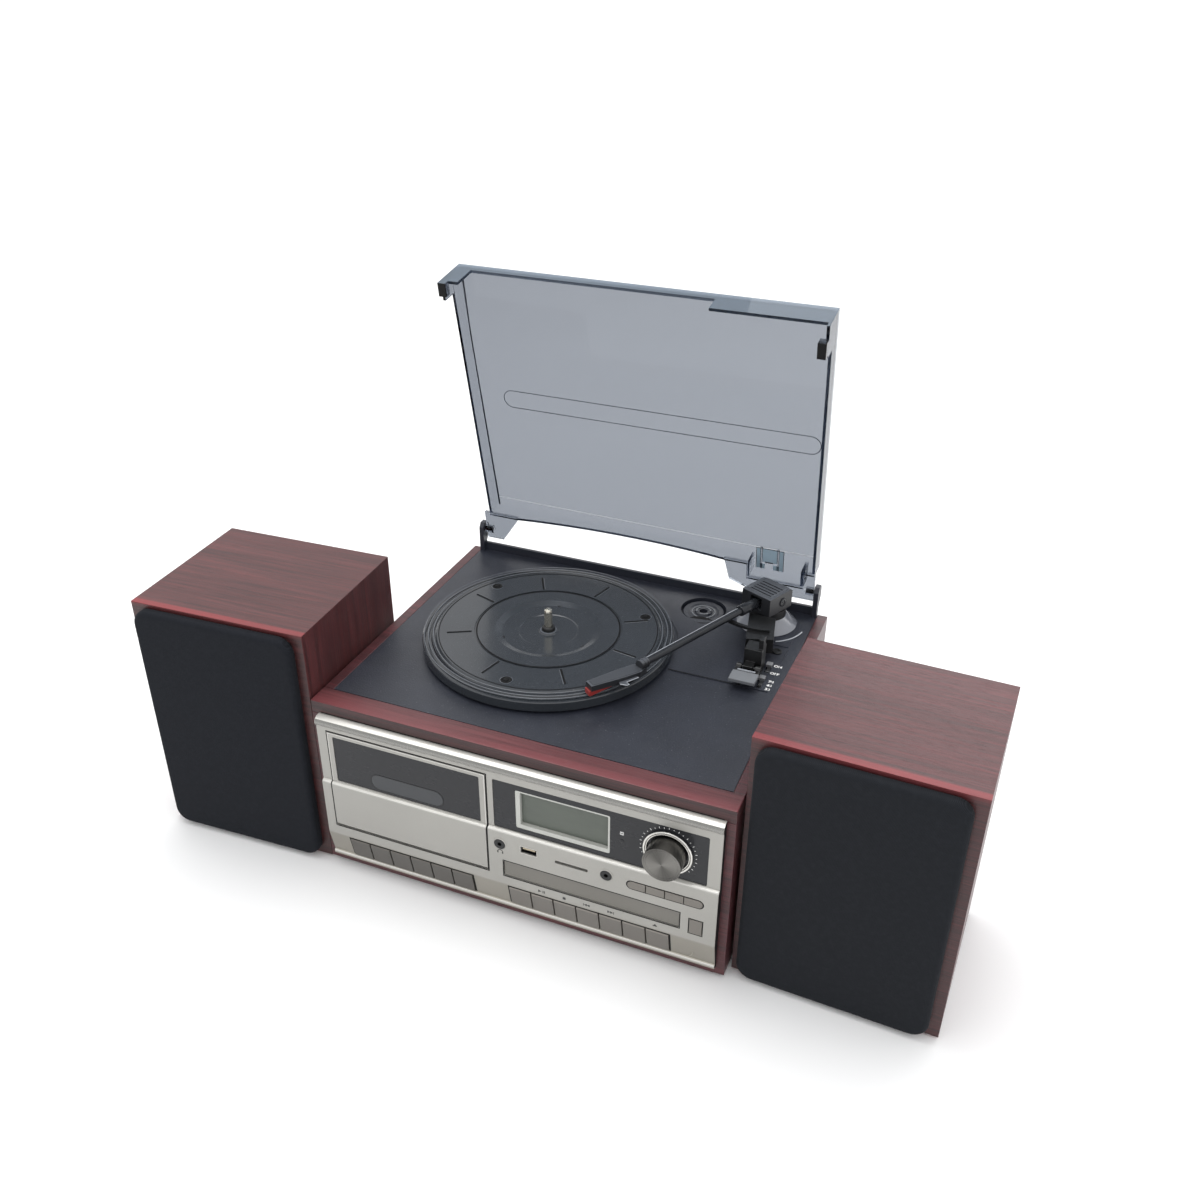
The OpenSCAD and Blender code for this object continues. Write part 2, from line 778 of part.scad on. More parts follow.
// Silver front, hollow behind, with all its openings
module fascia() {
    w = front_half;
    z = front_z;
    top = front_top;
    pin_x = [door_box[0] - door_box[2] / 2, door_box[0] + door_box[2] / 2];
    color([0.68, 0.68, 0.66])
        unit()
        difference() {
            union() {
                difference() {
                    side_shape([
                        [0, z], [-2.6, z], [-5, z + 1.4], [-5, z + 4.2], [-3.8, z + 5.2],
                        [-8.3, z + 27], [lower_y, z + 28.5], [lower_y, ledge_z - 2.5],
                        [-7.8, ledge_z - 1], [upper_y, ledge_z], [upper_y, top - 8],
                        [-7.2, top - 7], [-7.8, top - 5.6], [-7.6, top - 3.6],
                        [-6.4, top - 1.6], [-4, top - 0.3], [0, top]
                    ], -w, w);
                    side_shape([
                        [1, z + 6.6], [-1.2, z + 6.6], [lower_y + skin, z + 29],
                        [lower_y + skin, ledge_z - 4], [upper_y + skin, ledge_z - 0.5],
                        [upper_y + skin, top - 7], [1, top - 7]
                    ], 4 - w, w - 4);
                }
                for (p = board_posts)
                    bar_y(p[0], p[1], 3, p[2], board_y);
                for (x = [pin_x[0] - 3.3, pin_x[1] + 0.4])
                    block([x, -8, door_hinge[1] - 3], [x + 2.9, -2, door_hinge[1] + 3]);
            }
            front_box(door_box, 1, -20, 20);
            front_box(window_box, 1.5, -20, 20);
            front_box(tray_box, 1, -20, 20);
            front_box(mode_box, 3.7, -20, 20);
            front_box(power_box, 1, -20, 20);
            front_box(usb_box, 0.6, -20, 20);
            front_box(card_box, 1, -20, 20);
            bar_y(phones_at[0], phones_at[1], 3.5, -20, 20);
            bar_y(aux_at[0], aux_at[1], 3.5, -20, 20);
            row_cut(key_x0, key_n * key_pitch);
            row_cut(button_x0, button_n * button_pitch);
            for (x = pin_x)
                bar_x(door_hinge[0], door_hinge[1], door_pin_r + fit, x - 2.5, x + 2);
        }
}

module row_cut(x, w) {
    block([x - 0.4, -20, row_z[0] - gap], [x + w + 0.4, 5, row_z[1] + gap]);
}

// Dark window around the display and the volume knob, with the knob's ring
module display_window() {
    color([0.2, 0.2, 0.21])
        unit()
        difference() {
            union() {
                front_box(window_box, 1.5, upper_y + 0.6, upper_y + skin + 0.6, -0.15);
                bar_y(knob_at[0], knob_at[1], knob_r + 4.5, upper_y - 1.2, upper_y + 1);
            }
            bar_y(knob_at[0], knob_at[1], knob_r + 2, upper_y - 2, upper_y + 0.6);
            bar_y(knob_at[0], knob_at[1], 3 + fit, -20, 5);
            front_box(lcd_box, 1.5, -20, 5, 0.1);
        }
}

// Display in its pale sunk bezel
module display_module() {
    sunk = [lcd_box[0] + 1.2, lcd_box[1] + 1.2, lcd_box[2] - 5.4, lcd_box[3] - 5.4];
    color([0.5, 0.53, 0.48])
        unit()
        difference() {
            front_box(lcd_box, 1.5, upper_y + 0.9, board_y);
            front_box(sunk, 1, upper_y - 1, upper_y + 4.6);
        }
}

module volume_knob() {
    r = knob_r;
    color([0.5, 0.49, 0.47])
        unit()
        translate([knob_at[0], 0, knob_at[1]])
        rotate([90, 0, 0])
        rotate_extrude()
        polygon([
            [0, -1], [3, -1], [3, 6], [r - 0.4, 6], [r, 6.6], [r, 20.2],
            [r - 1.3, 21.5], [r - 2.2, 21.5], [r - 2.6, 21.1], [0, 21.1]
        ]);
}

// Door over the cassette bay, with the rails that hold a cassette
module cassette_door() {
    x0 = door_box[0] - door_box[2] / 2 + 0.35;
    x1 = door_box[0] + door_box[2] / 2 - 0.35;
    z0 = door_box[1] - door_h / 2 + 0.6;
    z1 = door_box[1] + door_h / 2 - 0.4;
    color([0.68, 0.68, 0.66])
        unit()
        difference() {
            union() {
                side_shape([
                    [-5.6, z0], [-7.4, z0], [-8.6, z0 + 1.7], [-8.7, ledge_z - 2.7],
                    [-8, ledge_z - 1.2], [-6.3, ledge_z - 0.2], [-6.3, z1 - 0.2],
                    [-3.3, z1], [-3.3, ledge_z + 1], [-5.6, ledge_z - 4]
                ], x0, x1);
                for (x = [door_box[0] - 56.5, door_box[0] + 53.5])
                    block([x, -5.7, z0 + 7], [x + 3, 15, z0 + 65]);
                block([door_box[0] - 56.5, -5.7, z0 + 5], [door_box[0] + 56.5, 15, z0 + 8]);
                for (x = [x0 - 1.8, x1 - 1])
                    bar_x(door_hinge[0], door_hinge[1], door_pin_r, x, x + 2.8);
            }
            front_box(door_window, 1, -20, 0, 0.2);
        }
}

module cassette_window() {
    color([0.17, 0.17, 0.18])
        unit()
        front_box(door_window, 1, -5.7, -3.3);
}

// Sloped key in a row, given by its left end and width
module row_key(x, w) {
    side_shape([
        [2, row_z[0]], [-4.6, row_z[0]], [-5.1, row_z[0] + 0.6], [-9, row_z[1] - 1],
        [-8.7, row_z[1]], [2, row_z[1]]
    ], x + key_gap / 2, x + w - key_gap / 2);
}

module cassette_key(i) {
    color([0.44, 0.42, 0.39])
        unit()
        row_key(key_x0 + (i - 1) * key_pitch, key_pitch);
}

module function_button(i) {
    color([0.46, 0.43, 0.4])
        unit()
        row_key(button_x0 + (i - 1) * button_pitch, button_pitch);
}

// Small button in the row of four; the outer ends are half round
module mode_button(i) {
    x0 = mode_box[0] - mode_box[2] / 2 + (i - 1) * mode_w;
    cut_l = i == 1 ? -5 : gap;
    cut_r = i == mode_n ? -5 : gap;
    color([0.55, 0.54, 0.52])
        unit()
        intersection() {
            front_box(mode_box, 3.5, lower_y - 0.5, 2.6, -gap);
            block([x0 + cut_l, -20, mode_box[1] - 9], [x0 + mode_w - cut_r, 5, mode_box[1] + 9]);
        }
}

module power_button() {
    color([0.5, 0.49, 0.47])
        unit()
        front_box(power_box, 0.8, lower_y - 0.4, 2, -gap);
}

// Board behind the front, with the encoder and the push switches
module front_board() {
    left = front_half - 188.5 * share;
    right = front_half - 4.5 * share;
    step = front_half - 24.5 * share;
    low = front_z + 33;
    mid = front_z + 56.5;
    top = front_z + 138.6;
    color([0.12, 0.3, 0.16])
        unit() {
            upright([
                [left, mid], [step, mid], [step, low], [right, low], [right, top], [left, top]
            ], board_y, board_y + 1.6);
            block([knob_at[0] - 6, 1.3, knob_at[1] - 6], [knob_at[0] + 6, board_y + 0.1, knob_at[1] + 6]);
            for (i = [0:mode_n - 1])
                switch_body(mode_box[0] + (i - (mode_n - 1) / 2) * mode_w, mode_box[1], 4.2);
            switch_body(power_box[0], power_box[1], 4);
        }
}

module switch_body(x, z, y0) {
    block([x - 3, y0, z - 3], [x + 3, board_y + 0.1, z + 3]);
}

// Headphone and auxiliary sockets, USB socket and card slot
module front_sockets() {
    color([0.1, 0.1, 0.1])
        unit() {
            for (p = [phones_at, aux_at])
                difference() {
                    union() {
                        bar_y(p[0], p[1], 3.4, lower_y - 0.1, 4);
                        bar_y(p[0], p[1], 4.6, lower_y - 0.7, lower_y);
                        block([p[0] - 5, -4, p[1] - 4], [p[0] + 5, board_y, p[1] + 4]);
                    }
                    bar_y(p[0], p[1], jack_r, -20, 5.5);
                }
            difference() {
                front_box(usb_box, 0.5, lower_y + 0.6, board_y, -0.2);
                front_box(usb_box, 0.3, -20, 5.5, -0.8);
            }
            block([usb_box[0] - 5.5, lower_y + 1.5, usb_box[1] + 0.2],
                [usb_box[0] + 5.5, 6, usb_box[1] + 1.9]);
            difference() {
                front_box(card_box, 0.5, lower_y + skin + 0.1, board_y, 1);
                front_box(card_box, 0.3, -20, 5.5, -0.2);
            }
        }
}

// Drawer with its front and the well for a disc
module cd_tray() {
    x = tray_box[0];
    z = tray_box[1];
    half = 63.9;
    back = 158;
    color([0.47, 0.45, 0.43])
        unit() {
            front_box(tray_box, 0.8, -7.7, -4.6, -gap);
            difference() {
                block([x - half, -4.7, z - 4.5], [x + half, back, z - 0.3]);
                bar_z([x, 70], 60.5, z - 2.7, z + 8);
                bar_z([x, 70], 19, z - 8, z + 8);
                block([x - 10, 70, z - 8], [x + 10, back + 2, z + 8]);
            }
        }
}

// Frame of the disc drive, standing on the bottom board
module cd_chassis() {
    x = tray_box[0];
    z = tray_box[1];
    half = 71.1;
    color([0.5, 0.51, 0.52])
        unit() {
            difference() {
                block([x - half, 14, z - 6.9], [x + half, 172, z + 14.5]);
                block([x - 64.2, 13, z - 4.7], [x + 64.2, 173, z + 12]);
                block([x - 38, 40, z + 2], [x + 38, 150, z + 22]);
            }
            for (px = [x - 66, x + 54])
                for (y = [20, 154])
                    block([px, y, floor_z], [px + 12, y + 12, z - 6.5]);
        }
}

// Cassette mechanism: plate, gear housing, reel hubs, head and legs
module cassette_chassis() {
    x = door_box[0];
    z = door_box[1];
    color([0.52, 0.53, 0.54])
        unit() {
            block([x - 67, 24, z - 54], [x + 67, 27, z + 52]);
            block([x - 59, 26.5, z - 36], [x + 39, 58, z + 44]);
            for (s = [-21.25, 21.25])
                bar_y(x + s, z + 7, 4.6, 16, 24.5);
            block([x - 6.5, 17, z - 36], [x + 6.5, 24.5, z - 24]);
            for (px = [x - 67, x + 59])
                block([px, 24, floor_z], [px + 8, 44, z - 53.5]);
        }
}

// Amplifier and supply board with its transformer, capacitors and heat sink
module main_board() {
    w = in_half - 18.5;
    y = unit_d - 90;
    z = floor_z + 9;
    top = z + 1.5;
    sink_x = w - 110;
    color([0.12, 0.3, 0.16])
        unit() {
            block([-w, y, z], [w, y + 75, z + 1.6]);
            for (px = [7 - w, w - 7])
                for (py = [y + 7, y + 68])
                    bar_z([px, py], 3.5, floor_z, z + 0.5);
            block([10 - w, y + 8, top], [58 - w, y + 50, z + 40]);
            for (i = [0:2])
                bar_z([84 - w + 26 * i, y + 18], 8, top, z + 29.5);
            for (i = [0:7])
                block([sink_x + 8 * i, y + 28, top], [sink_x + 8 * i + 2.5, y + 65, z + 33]);
            block([sink_x, y + 27, top], [sink_x + 58.5, y + 31, z + 33]);
        }
}

module at_left() {
    unit()
        translate([left_at[0], left_at[1], 0])
        rotate([0, 0, left_turn])
        children();
}

module at_right() {
    unit()
        translate([right_at[0], right_at[1], 0])
        rotate([0, 0, right_turn])
        children();
}

// Wooden box with its baffle and four pads, open inside
module speaker_box() {
    w = spk_w / 2;
    difference() {
        block([-w, 0, pad_h], [w, spk_d, spk_h]);
        block([board_t - w, 12, pad_h + board_t], [w - board_t, spk_d - 6, spk_h - board_t]);
        bar_y(0, driver_z, driver_r - 5, -5, 15);
        // recess for the terminals
        block([-20, spk_d - 3, 40], [20, spk_d + 1, 70]);
    }
    for (x = [18 - w, w - 18])
        for (y = [16, spk_d - 16])
            bar_z([x, y], 6, 0, pad_h + 0.1);
}

// Full-range driver: rim, surround, cone, dust cap and magnet
module driver() {
    r = driver_r;
    translate([0, 0, driver_z])
        rotate([-90, 0, 0])
        rotate_extrude()
        polygon([
            [0, 12], [6, 12.6], [11, 14.5], [14, 18], [r - 16, 2], [r - 14, -0.4], [r - 11.5, -2],
            [r - 9, -1], [r - 7, -2.5], [r, -2.5], [r, 0], [r - 5.3, 0], [r - 5.3, 5],
            [r - 8, 12], [33, 32], [33, 44], [0, 44]
        ]);
}

// Cloth-covered frame with a hollow back
module grille() {
    gw = spk_w - 2 * grille_side;
    gh = spk_h - 2 * grille_edge;
    translate([0, 0, spk_h / 2])
        difference() {
            hull() {
                upright(rounded(gw, gh, grille_r, 8), 3 - grille_t, -0.1);
                upright(rounded(gw - 5, gh - 5, grille_r - 2.5, 8), -grille_t, -0.2);
            }
            upright(rounded(gw - 18, gh - 18, 6), 2.2 - grille_t, 1);
        }
}

module left_speaker_box() {
    color([0.45, 0.22, 0.22])
        at_left()
        speaker_box();
}

module left_driver() {
    color([0.1, 0.1, 0.11])
        at_left()
        driver();
}

module left_grille() {
    color([0.1, 0.1, 0.1])
        at_left()
        grille();
}

module right_speaker_box() {
    color([0.45, 0.22, 0.22])
        at_right()
        speaker_box();
}

module right_driver() {
    color([0.1, 0.1, 0.11])
        at_right()
        driver();
}

module right_grille() {
    color([0.1, 0.1, 0.1])
        at_right()
        grille();
}

side_board_left();
side_board_right();
front_rail();
bottom_board();
rear_panel();
unit_feet();
deck_plate();
speed_switch();
autostop_switch();
adapter_45();
platter();
spindle();
drive_belt();
deck_motor();
motor_pulley();
arm_base();
arm_block();
arm_tube();
headshell();
stylus();
arm_rest();
cue_lever();
lift_platform();
lid();
fascia();
display_window();
display_module();
volume_knob();
cassette_door();
cassette_window();
for (i = [1:key_n])
    cassette_key(i);
for (i = [1:button_n])
    function_button(i);
for (i = [1:mode_n])
    mode_button(i);
power_button();
front_board();
front_sockets();
cd_tray();
cd_chassis();
cassette_chassis();
main_board();
left_speaker_box();
left_driver();
left_grille();
right_speaker_box();
right_driver();
right_grille();
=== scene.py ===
"""Looks of the stereo music centre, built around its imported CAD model."""

import math

import bmesh
import bpy
from mathutils import Matrix, Vector


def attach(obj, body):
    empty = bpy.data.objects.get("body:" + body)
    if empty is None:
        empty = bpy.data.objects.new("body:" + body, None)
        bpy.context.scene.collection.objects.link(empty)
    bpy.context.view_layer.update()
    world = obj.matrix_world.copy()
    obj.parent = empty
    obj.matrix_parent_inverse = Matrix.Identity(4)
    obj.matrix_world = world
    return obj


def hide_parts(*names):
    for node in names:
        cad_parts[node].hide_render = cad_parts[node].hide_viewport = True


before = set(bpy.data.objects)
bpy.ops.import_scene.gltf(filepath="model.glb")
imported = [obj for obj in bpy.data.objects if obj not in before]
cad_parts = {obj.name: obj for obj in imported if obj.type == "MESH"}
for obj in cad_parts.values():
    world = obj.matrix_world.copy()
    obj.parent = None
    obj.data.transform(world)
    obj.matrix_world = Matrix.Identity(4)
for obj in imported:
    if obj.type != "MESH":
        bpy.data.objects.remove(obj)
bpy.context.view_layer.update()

# Sizes of the CAD model in mm, with y counted back from the wooden front, and angles in degrees
MM = 0.001
FRONT_OFF = 140.5   # the wooden front face lies this far ahead of the origin
REAR_Y = 287
DECK_Z = 168.5
PLATE_Z = DECK_Z + 0.6   # raised plate around the arm
SPINDLE = (-37.5, 154)
MAT_H = 13.3
ADAPTER = (71, 255)
PIVOT = (129, 257)
ARM_TURN = 24.3
HEAD_TURN = 13
TUBE_H = 27
TUBE_LEN = 155
LEVER = (137.4, 167.1, DECK_Z + 8.5)
HINGE = (286, DECK_Z + 23.1)
LID_OPEN = 80.4
LID_PANEL = 16.8 - 2.5   # inner face of the lid's panel, in the lid's frame
# Silver front: its half width, foot, two depths, and the places of what stands in it
FRONT_HALF = 170.5
FRONT_Z = 12
UPPER_Y = -6
LOWER_Y = -8.5
KNOB = (129.5, 119.6)
KEY_X0, KEY_PITCH = -150.1, 19.3
BUTTON_X0, BUTTON_PITCH = -1.9, 19.45
SOCKETS = {"phones": (FRONT_HALF - 178.5, FRONT_Z + 70), "aux": (FRONT_HALF - 88.5, FRONT_Z + 69.5)}
USB = (FRONT_HALF - 153.5, FRONT_Z + 70.6)
# Middle of each speaker's front edge and its turn
SPEAKERS = {"left": (-258.43, -2.29, 2.5), "right": (259.84, 9.09, -2.3)}
SPEAKER_W, SPEAKER_H = 160, 227


# Places and frames


def unit(x=0, y=0, z=0):
    """Matrix from the main unit's millimetres, counted back from the wooden front, to metres."""
    return Matrix.Scale(MM, 4) @ Matrix.Translation((x, y - FRONT_OFF, z))


def turned(degrees, axis="Z"):
    return Matrix.Rotation(math.radians(degrees), 4, axis)


def arm_frame():
    return unit(*PIVOT, DECK_Z) @ turned(-ARM_TURN)


def head_frame():
    return arm_frame() @ Matrix.Translation((0.5, -TUBE_LEN, 0)) @ turned(-HEAD_TURN)


def lid_frame():
    return unit(0, *HINGE) @ turned(-LID_OPEN, "X")


def speaker_frame(side):
    x, y, turn = SPEAKERS[side]
    return unit(x, y, 0) @ turned(turn)


def front_frame(x, z, y=LOWER_Y):
    """Frame on the silver front: X right, Y up the front, Z towards the viewer."""
    return unit(x, y, z) @ turned(90, "X")


# Shaders


def rgb(code):
    """Linear colour from a hex code."""
    values = [int(code[i:i + 2], 16) / 255 for i in (0, 2, 4)]
    return tuple(v / 12.92 if v <= 0.04045 else ((v + 0.055) / 1.055) ** 2.4 for v in values) + (1,)


def scaled_colour(colour, by):
    return tuple(min(1.0, v * by) for v in colour[:3]) + (1,)


class Shader:
    """A node material with one Principled shader."""

    def __init__(self, name, **sockets):
        self.material = bpy.data.materials.new(name)
        self.material.use_nodes = True
        self.tree = self.material.node_tree
        self.bsdf = self.tree.nodes["Principled BSDF"]
        self.out = self.tree.nodes["Material Output"]
        for key, value in sockets.items():
            self.bsdf.inputs[key.replace("_", " ")].default_value = value
        self.coords = self.add("ShaderNodeTexCoord")

    def add(self, kind, links=None, **settings):
        node = self.tree.nodes.new(kind)
        for key, value in settings.items():
            setattr(node, key, value)
        for key, value in (links or {}).items():
            self.join(value, node.inputs[key])
        return node

    def join(self, value, socket):
        if isinstance(value, bpy.types.Node):
            value = value.outputs[0]
        if isinstance(value, bpy.types.NodeSocket):
            self.tree.links.new(value, socket)
        else:
            socket.default_value = value

    def feed(self, name, value):
        self.join(value, self.bsdf.inputs[name])

    def scaled(self, scale, source=None):
        vector = source or self.coords.outputs["Object"]
        return self.add("ShaderNodeVectorMath", {0: vector, 1: scale}, operation="MULTIPLY")

    def noise(self, scale, detail=3, rough=0.55, source=None, distortion=0.0):
        vector = self.scaled(scale, source) if isinstance(scale, tuple) else source
        links = {
            "Scale": 1.0 if isinstance(scale, tuple) else scale,
            "Detail": detail,
            "Roughness": rough,
            "Distortion": distortion,
        }
        links["Vector"] = vector or self.coords.outputs["Object"]
        return self.add("ShaderNodeTexNoise", links).outputs["Fac"]

    def math(self, operation, a, b=0.0, clamp=False):
        node = self.add("ShaderNodeMath", {0: a, 1: b}, operation=operation, use_clamp=clamp)
        return node.outputs[0]

    def times(self, a, b, clamp=False):
        return self.math("MULTIPLY", a, b, clamp)

    def ramp(self, value, stops):
        node = self.add("ShaderNodeValToRGB", {0: value})
        elements = node.color_ramp.elements
        for i, (place, colour) in enumerate(stops):
            element = elements[i] if i < 2 else elements.new(place)
            element.position = place
            element.color = colour if len(colour) == 4 else tuple(colour) + (1,)
        return node.outputs[0]

    def grey_ramp(self, value, *stops):
        return self.ramp(value, [(p, (v, v, v, 1)) for p, v in stops])

    def mix(self, factor, a, b, blend="MIX"):
        node = self.add("ShaderNodeMix", data_type="RGBA", blend_type=blend)
        for value, name in ((factor, "Factor_Float"), (a, "A_Color"), (b, "B_Color")):
            socket = next(s for s in node.inputs if s.identifier == name)
            self.join(value, socket)
        return next(s for s in node.outputs if s.identifier == "Result_Color")

    def bump(self, height, distance, strength=1.0, below=None):
        links = {"Height": height, "Distance": distance, "Strength": strength}
        if below is not None:
            links["Normal"] = below
        return self.add("ShaderNodeBump", links).outputs[0]

    def split(self, vector):
        return self.add("ShaderNodeSeparateXYZ", {0: vector}).outputs

    def position(self, axis):
        return self.split(self.coords.outputs["Object"])["XYZ".index(axis)]

    def turned_back(self, degrees):
        """Coordinates of something that stands turned around Z."""
        return self.add(
            "ShaderNodeVectorRotate",
            {"Vector": self.coords.outputs["Object"], "Angle": math.radians(-degrees)},
            rotation_type="Z_AXIS",
        ).outputs[0]

    def facing(self, axis):
        """How far the surface faces along an axis, from 0 to 1."""
        return self.math("ABSOLUTE", self.tilt(axis))

    def tilt(self, axis):
        """Part of the normal along an axis, from -1 to 1."""
        return self.split(self.coords.outputs["Normal"])["XYZ".index(axis)]


def wood(name, dark, mid, light, red_edge_highlight=None, turn=0.0, front=1.0):
    """Printed cherry laminate: streaks along X on tops and fronts, and along Z on the sides.

    The red edge highlight, where given, holds the depths between which a painted red highlight along the
    top's front edge fades out, its colour, and the height above which the front faces take a painted red
    rim, or 0. front is painted shade that darkens the faces that look forward.
    """
    s = Shader(name, Roughness=0.42, Coat_Weight=0.22, Coat_Roughness=0.28, Specular_IOR_Level=0.45)
    base = s.turned_back(turn) if turn else s.coords.outputs["Object"]
    along_x = {"long": (4, 95, 95), "streak": (13, 900, 900), "pore": (95, 2600, 2600)}
    along_z = {"long": (95, 95, 4), "streak": (900, 900, 13), "pore": (2600, 2600, 95)}
    side = s.grey_ramp(s.facing("X"), (0.45, 0), (0.55, 1))

    def layer(kind, detail, rough, distortion=0.0):
        a = s.noise(along_x[kind], detail, rough, base, distortion)
        b = s.noise(along_z[kind], detail, rough, base, distortion)
        return s.mix(side, a, b)

    bands = layer("long", 4, 0.6, 1.2)
    streaks = layer("streak", 5, 0.62)
    pores = layer("pore", 2, 0.5)
    colour = s.ramp(streaks, [(0.28, rgb(dark)), (0.5, rgb(mid)), (0.72, rgb(light))])
    tint = s.ramp(bands, [(0.3, rgb("b3a6a6")), (0.5, rgb("e2dbda")), (0.7, rgb("ffffff"))])
    colour = s.mix(0.85, colour, tint, "MULTIPLY")
    pore_mask = s.grey_ramp(pores, (0.56, 0), (0.7, 1))
    colour = s.mix(s.times(pore_mask, 0.5), colour, rgb("2a1214"))
    # Painted highlight: a red band along the top's front edge, where the rounded edge catches the light,
    # and a red rim on the front faces above a height
    if red_edge_highlight:
        low, high, code, rim = red_edge_highlight
        _, depth, height = s.split(base)
        band = s.add(
            "ShaderNodeMapRange", {"Value": depth, "From Min": low, "From Max": high,
                                   "To Min": 1.0, "To Max": 0.0},
        ).outputs[0]
        band = s.times(band, s.grey_ramp(s.facing("Z"), (0.2, 0), (0.6, 1)))
        if rim:
            front_face = s.grey_ramp(s.times(s.tilt("Y"), -1.0), (0.4, 0), (0.7, 1))
            upper = s.grey_ramp(height, (rim - 0.0006, 0), (rim, 1))
            rim_face = s.times(front_face, upper)
            band = s.math("ADD", s.grey_ramp(band, (0.1, 0), (0.35, 1)), rim_face)
        broken = s.times(band, s.grey_ramp(bands, (0.3, 0.6), (0.55, 1)), True)
        colour = s.mix(broken, colour, s.mix(streaks, rgb(code), rgb(light)))
    # Painted shade: faces that look forward are darkened down to the front factor
    if front != 1.0:
        slope = s.math("ADD", s.times(s.tilt("Y"), 0.5), 0.5)
        colour = s.mix(1.0, colour, s.grey_ramp(slope, (0.1, front), (0.3, 1.0)), "MULTIPLY")
    s.feed("Base Color", colour)
    s.feed("Roughness", s.grey_ramp(streaks, (0.3, 0.36), (0.7, 0.5)))
    s.feed("Normal", s.bump(pore_mask, 0.00012, 0.5, s.bump(streaks, 0.0001, 0.35)))
    return s.material


def plastic(name, code, rough=0.45, grain=1800, depth=0.00003, strength=0.5, spread=0.1,
            metallic=0.0, coat=0.0, dust=0.0, specular=0.5, top=1.0):
    """Moulded plastic with a fine texture, slow colour drift, dust specks and, where top is given, painted
    light that keeps its upper faces lighter than the rest.
    """
    s = Shader(name, Metallic=metallic, Coat_Weight=coat, Coat_Roughness=0.12, Specular_IOR_Level=specular)
    base = rgb(code)
    drift = s.noise(28, 4, 0.6)
    fine = s.noise(grain, 2, 0.5)
    low, high = scaled_colour(base, 1 - spread), scaled_colour(base, 1 + spread)
    colour = s.ramp(drift, [(0.3, low), (0.7, high)])
    speck = s.grey_ramp(fine, (0.35, 0), (0.7, 1))
    colour = s.mix(s.times(speck, 0.3), colour, high)
    if dust:
        specks = s.noise(900, 1, 0.5)
        mask = s.grey_ramp(specks, (0.72, 0), (0.78, 1))
        colour = s.mix(s.times(mask, dust), colour, rgb("8d8f92"))
    # Painted light: upward faces keep the full colour, all other faces are darkened by one over top
    if top != 1.0:
        painted_top_light = s.grey_ramp(s.tilt("Z"), (0.5, 1 / top), (0.95, 1.0))
        colour = s.mix(1.0, colour, painted_top_light, "MULTIPLY")
    s.feed("Base Color", colour)
    worn = s.noise(60, 4, 0.6)
    s.feed("Roughness", s.grey_ramp(worn, (0.3, rough * 0.88), (0.7, min(1, rough * 1.12))))
    s.feed("Normal", s.bump(fine, depth, strength))
    return s.material


def silver(name, code, rough=0.34, metallic=0.55, foot=None):
    """Silver lacquer: fine metal flakes under a satin clear coat, painted light on faces that look up and
    painted shade on faces that look down, and a warmer foot where one is given.
    """
    s = Shader(name, Metallic=metallic, Coat_Weight=0.35, Coat_Roughness=0.18, Specular_IOR_Level=0.5)
    base = rgb(code)
    flakes = s.noise(2600, 2, 0.7)
    drift = s.noise(18, 3, 0.5)
    low, high = scaled_colour(base, 0.9), scaled_colour(base, 1.08)
    colour = s.ramp(flakes, [(0.3, low), (0.7, high)])
    colour = s.mix(0.35, colour, s.ramp(drift, [(0.3, low), (0.7, high)]))
    # Painted light and shade: faces that look down get half the colour, upright faces four fifths, faces
    # that look up all of it
    slope = s.math("ADD", s.times(s.tilt("Z"), 0.5), 0.5)
    shade = s.grey_ramp(slope, (0.2, 0.5), (0.44, 0.72), (0.5, 0.8), (0.6, 1.0), (1.0, 1.0))
    colour = s.mix(1.0, colour, shade, "MULTIPLY")
    if foot:
        low_part = s.grey_ramp(s.times(s.position("Z"), 10.0), (0.38, 1), (0.42, 0))
        colour = s.mix(low_part, colour, s.mix(1.0, colour, rgb(foot), "MULTIPLY"))
    s.feed("Base Color", colour)
    s.feed("Roughness", s.grey_ramp(flakes, (0.3, rough), (0.7, rough + 0.1)))
    s.feed("Normal", s.bump(flakes, 0.000012, 0.3))
    return s.material


def spun(name, code, centre, axis="Y", rough=0.3, sectors=0.0):
    """Turned metal: fine rings around an axis and, where sectors is given, a painted fan of highlights and
    shade across its face.
    """
    s = Shader(name, Metallic=1.0)
    shift = tuple(-c * MM for c in centre)
    moved = s.add("ShaderNodeVectorMath", {0: s.coords.outputs["Object"], 1: shift}, operation="ADD")
    across = [part for part, name in zip(s.split(moved), "XYZ") if name != axis]
    squares = [s.times(a, a) for a in across]
    radius = s.math("SQRT", s.math("ADD", *squares))
    ring = s.add("ShaderNodeCombineXYZ", {0: s.times(radius, 4200.0)})
    grooves = s.noise(1.0, 2, 0.7, ring)
    colour = s.ramp(grooves, [(0.3, scaled_colour(rgb(code), 0.8)), (0.7, rgb(code))])
    # Painted highlights and shade: a fan of lighter and darker sectors around the axis
    if sectors:
        angle = s.math("ARCTAN2", across[1], across[0])
        painted_fan = s.math("COSINE", s.math("ADD", s.times(angle, 2.0), -0.9))
        fine = s.add("ShaderNodeCombineXYZ", {0: s.times(angle, 9.0)})
        wave = s.math("ADD", painted_fan, s.times(s.noise(1.0, 3, 0.6, fine), 1.2))
        shade = s.grey_ramp(s.times(s.math("ADD", wave, 1.0), 0.33, True),
                            (0.1, 1 - sectors), (0.9, 1.0))
        colour = s.mix(1.0, colour, shade, "MULTIPLY")
    s.feed("Base Color", colour)
    s.feed("Roughness", s.grey_ramp(grooves, (0.3, rough), (0.7, rough + 0.12)))
    s.feed("Normal", s.bump(grooves, 0.00003, 0.4))
    return s.material


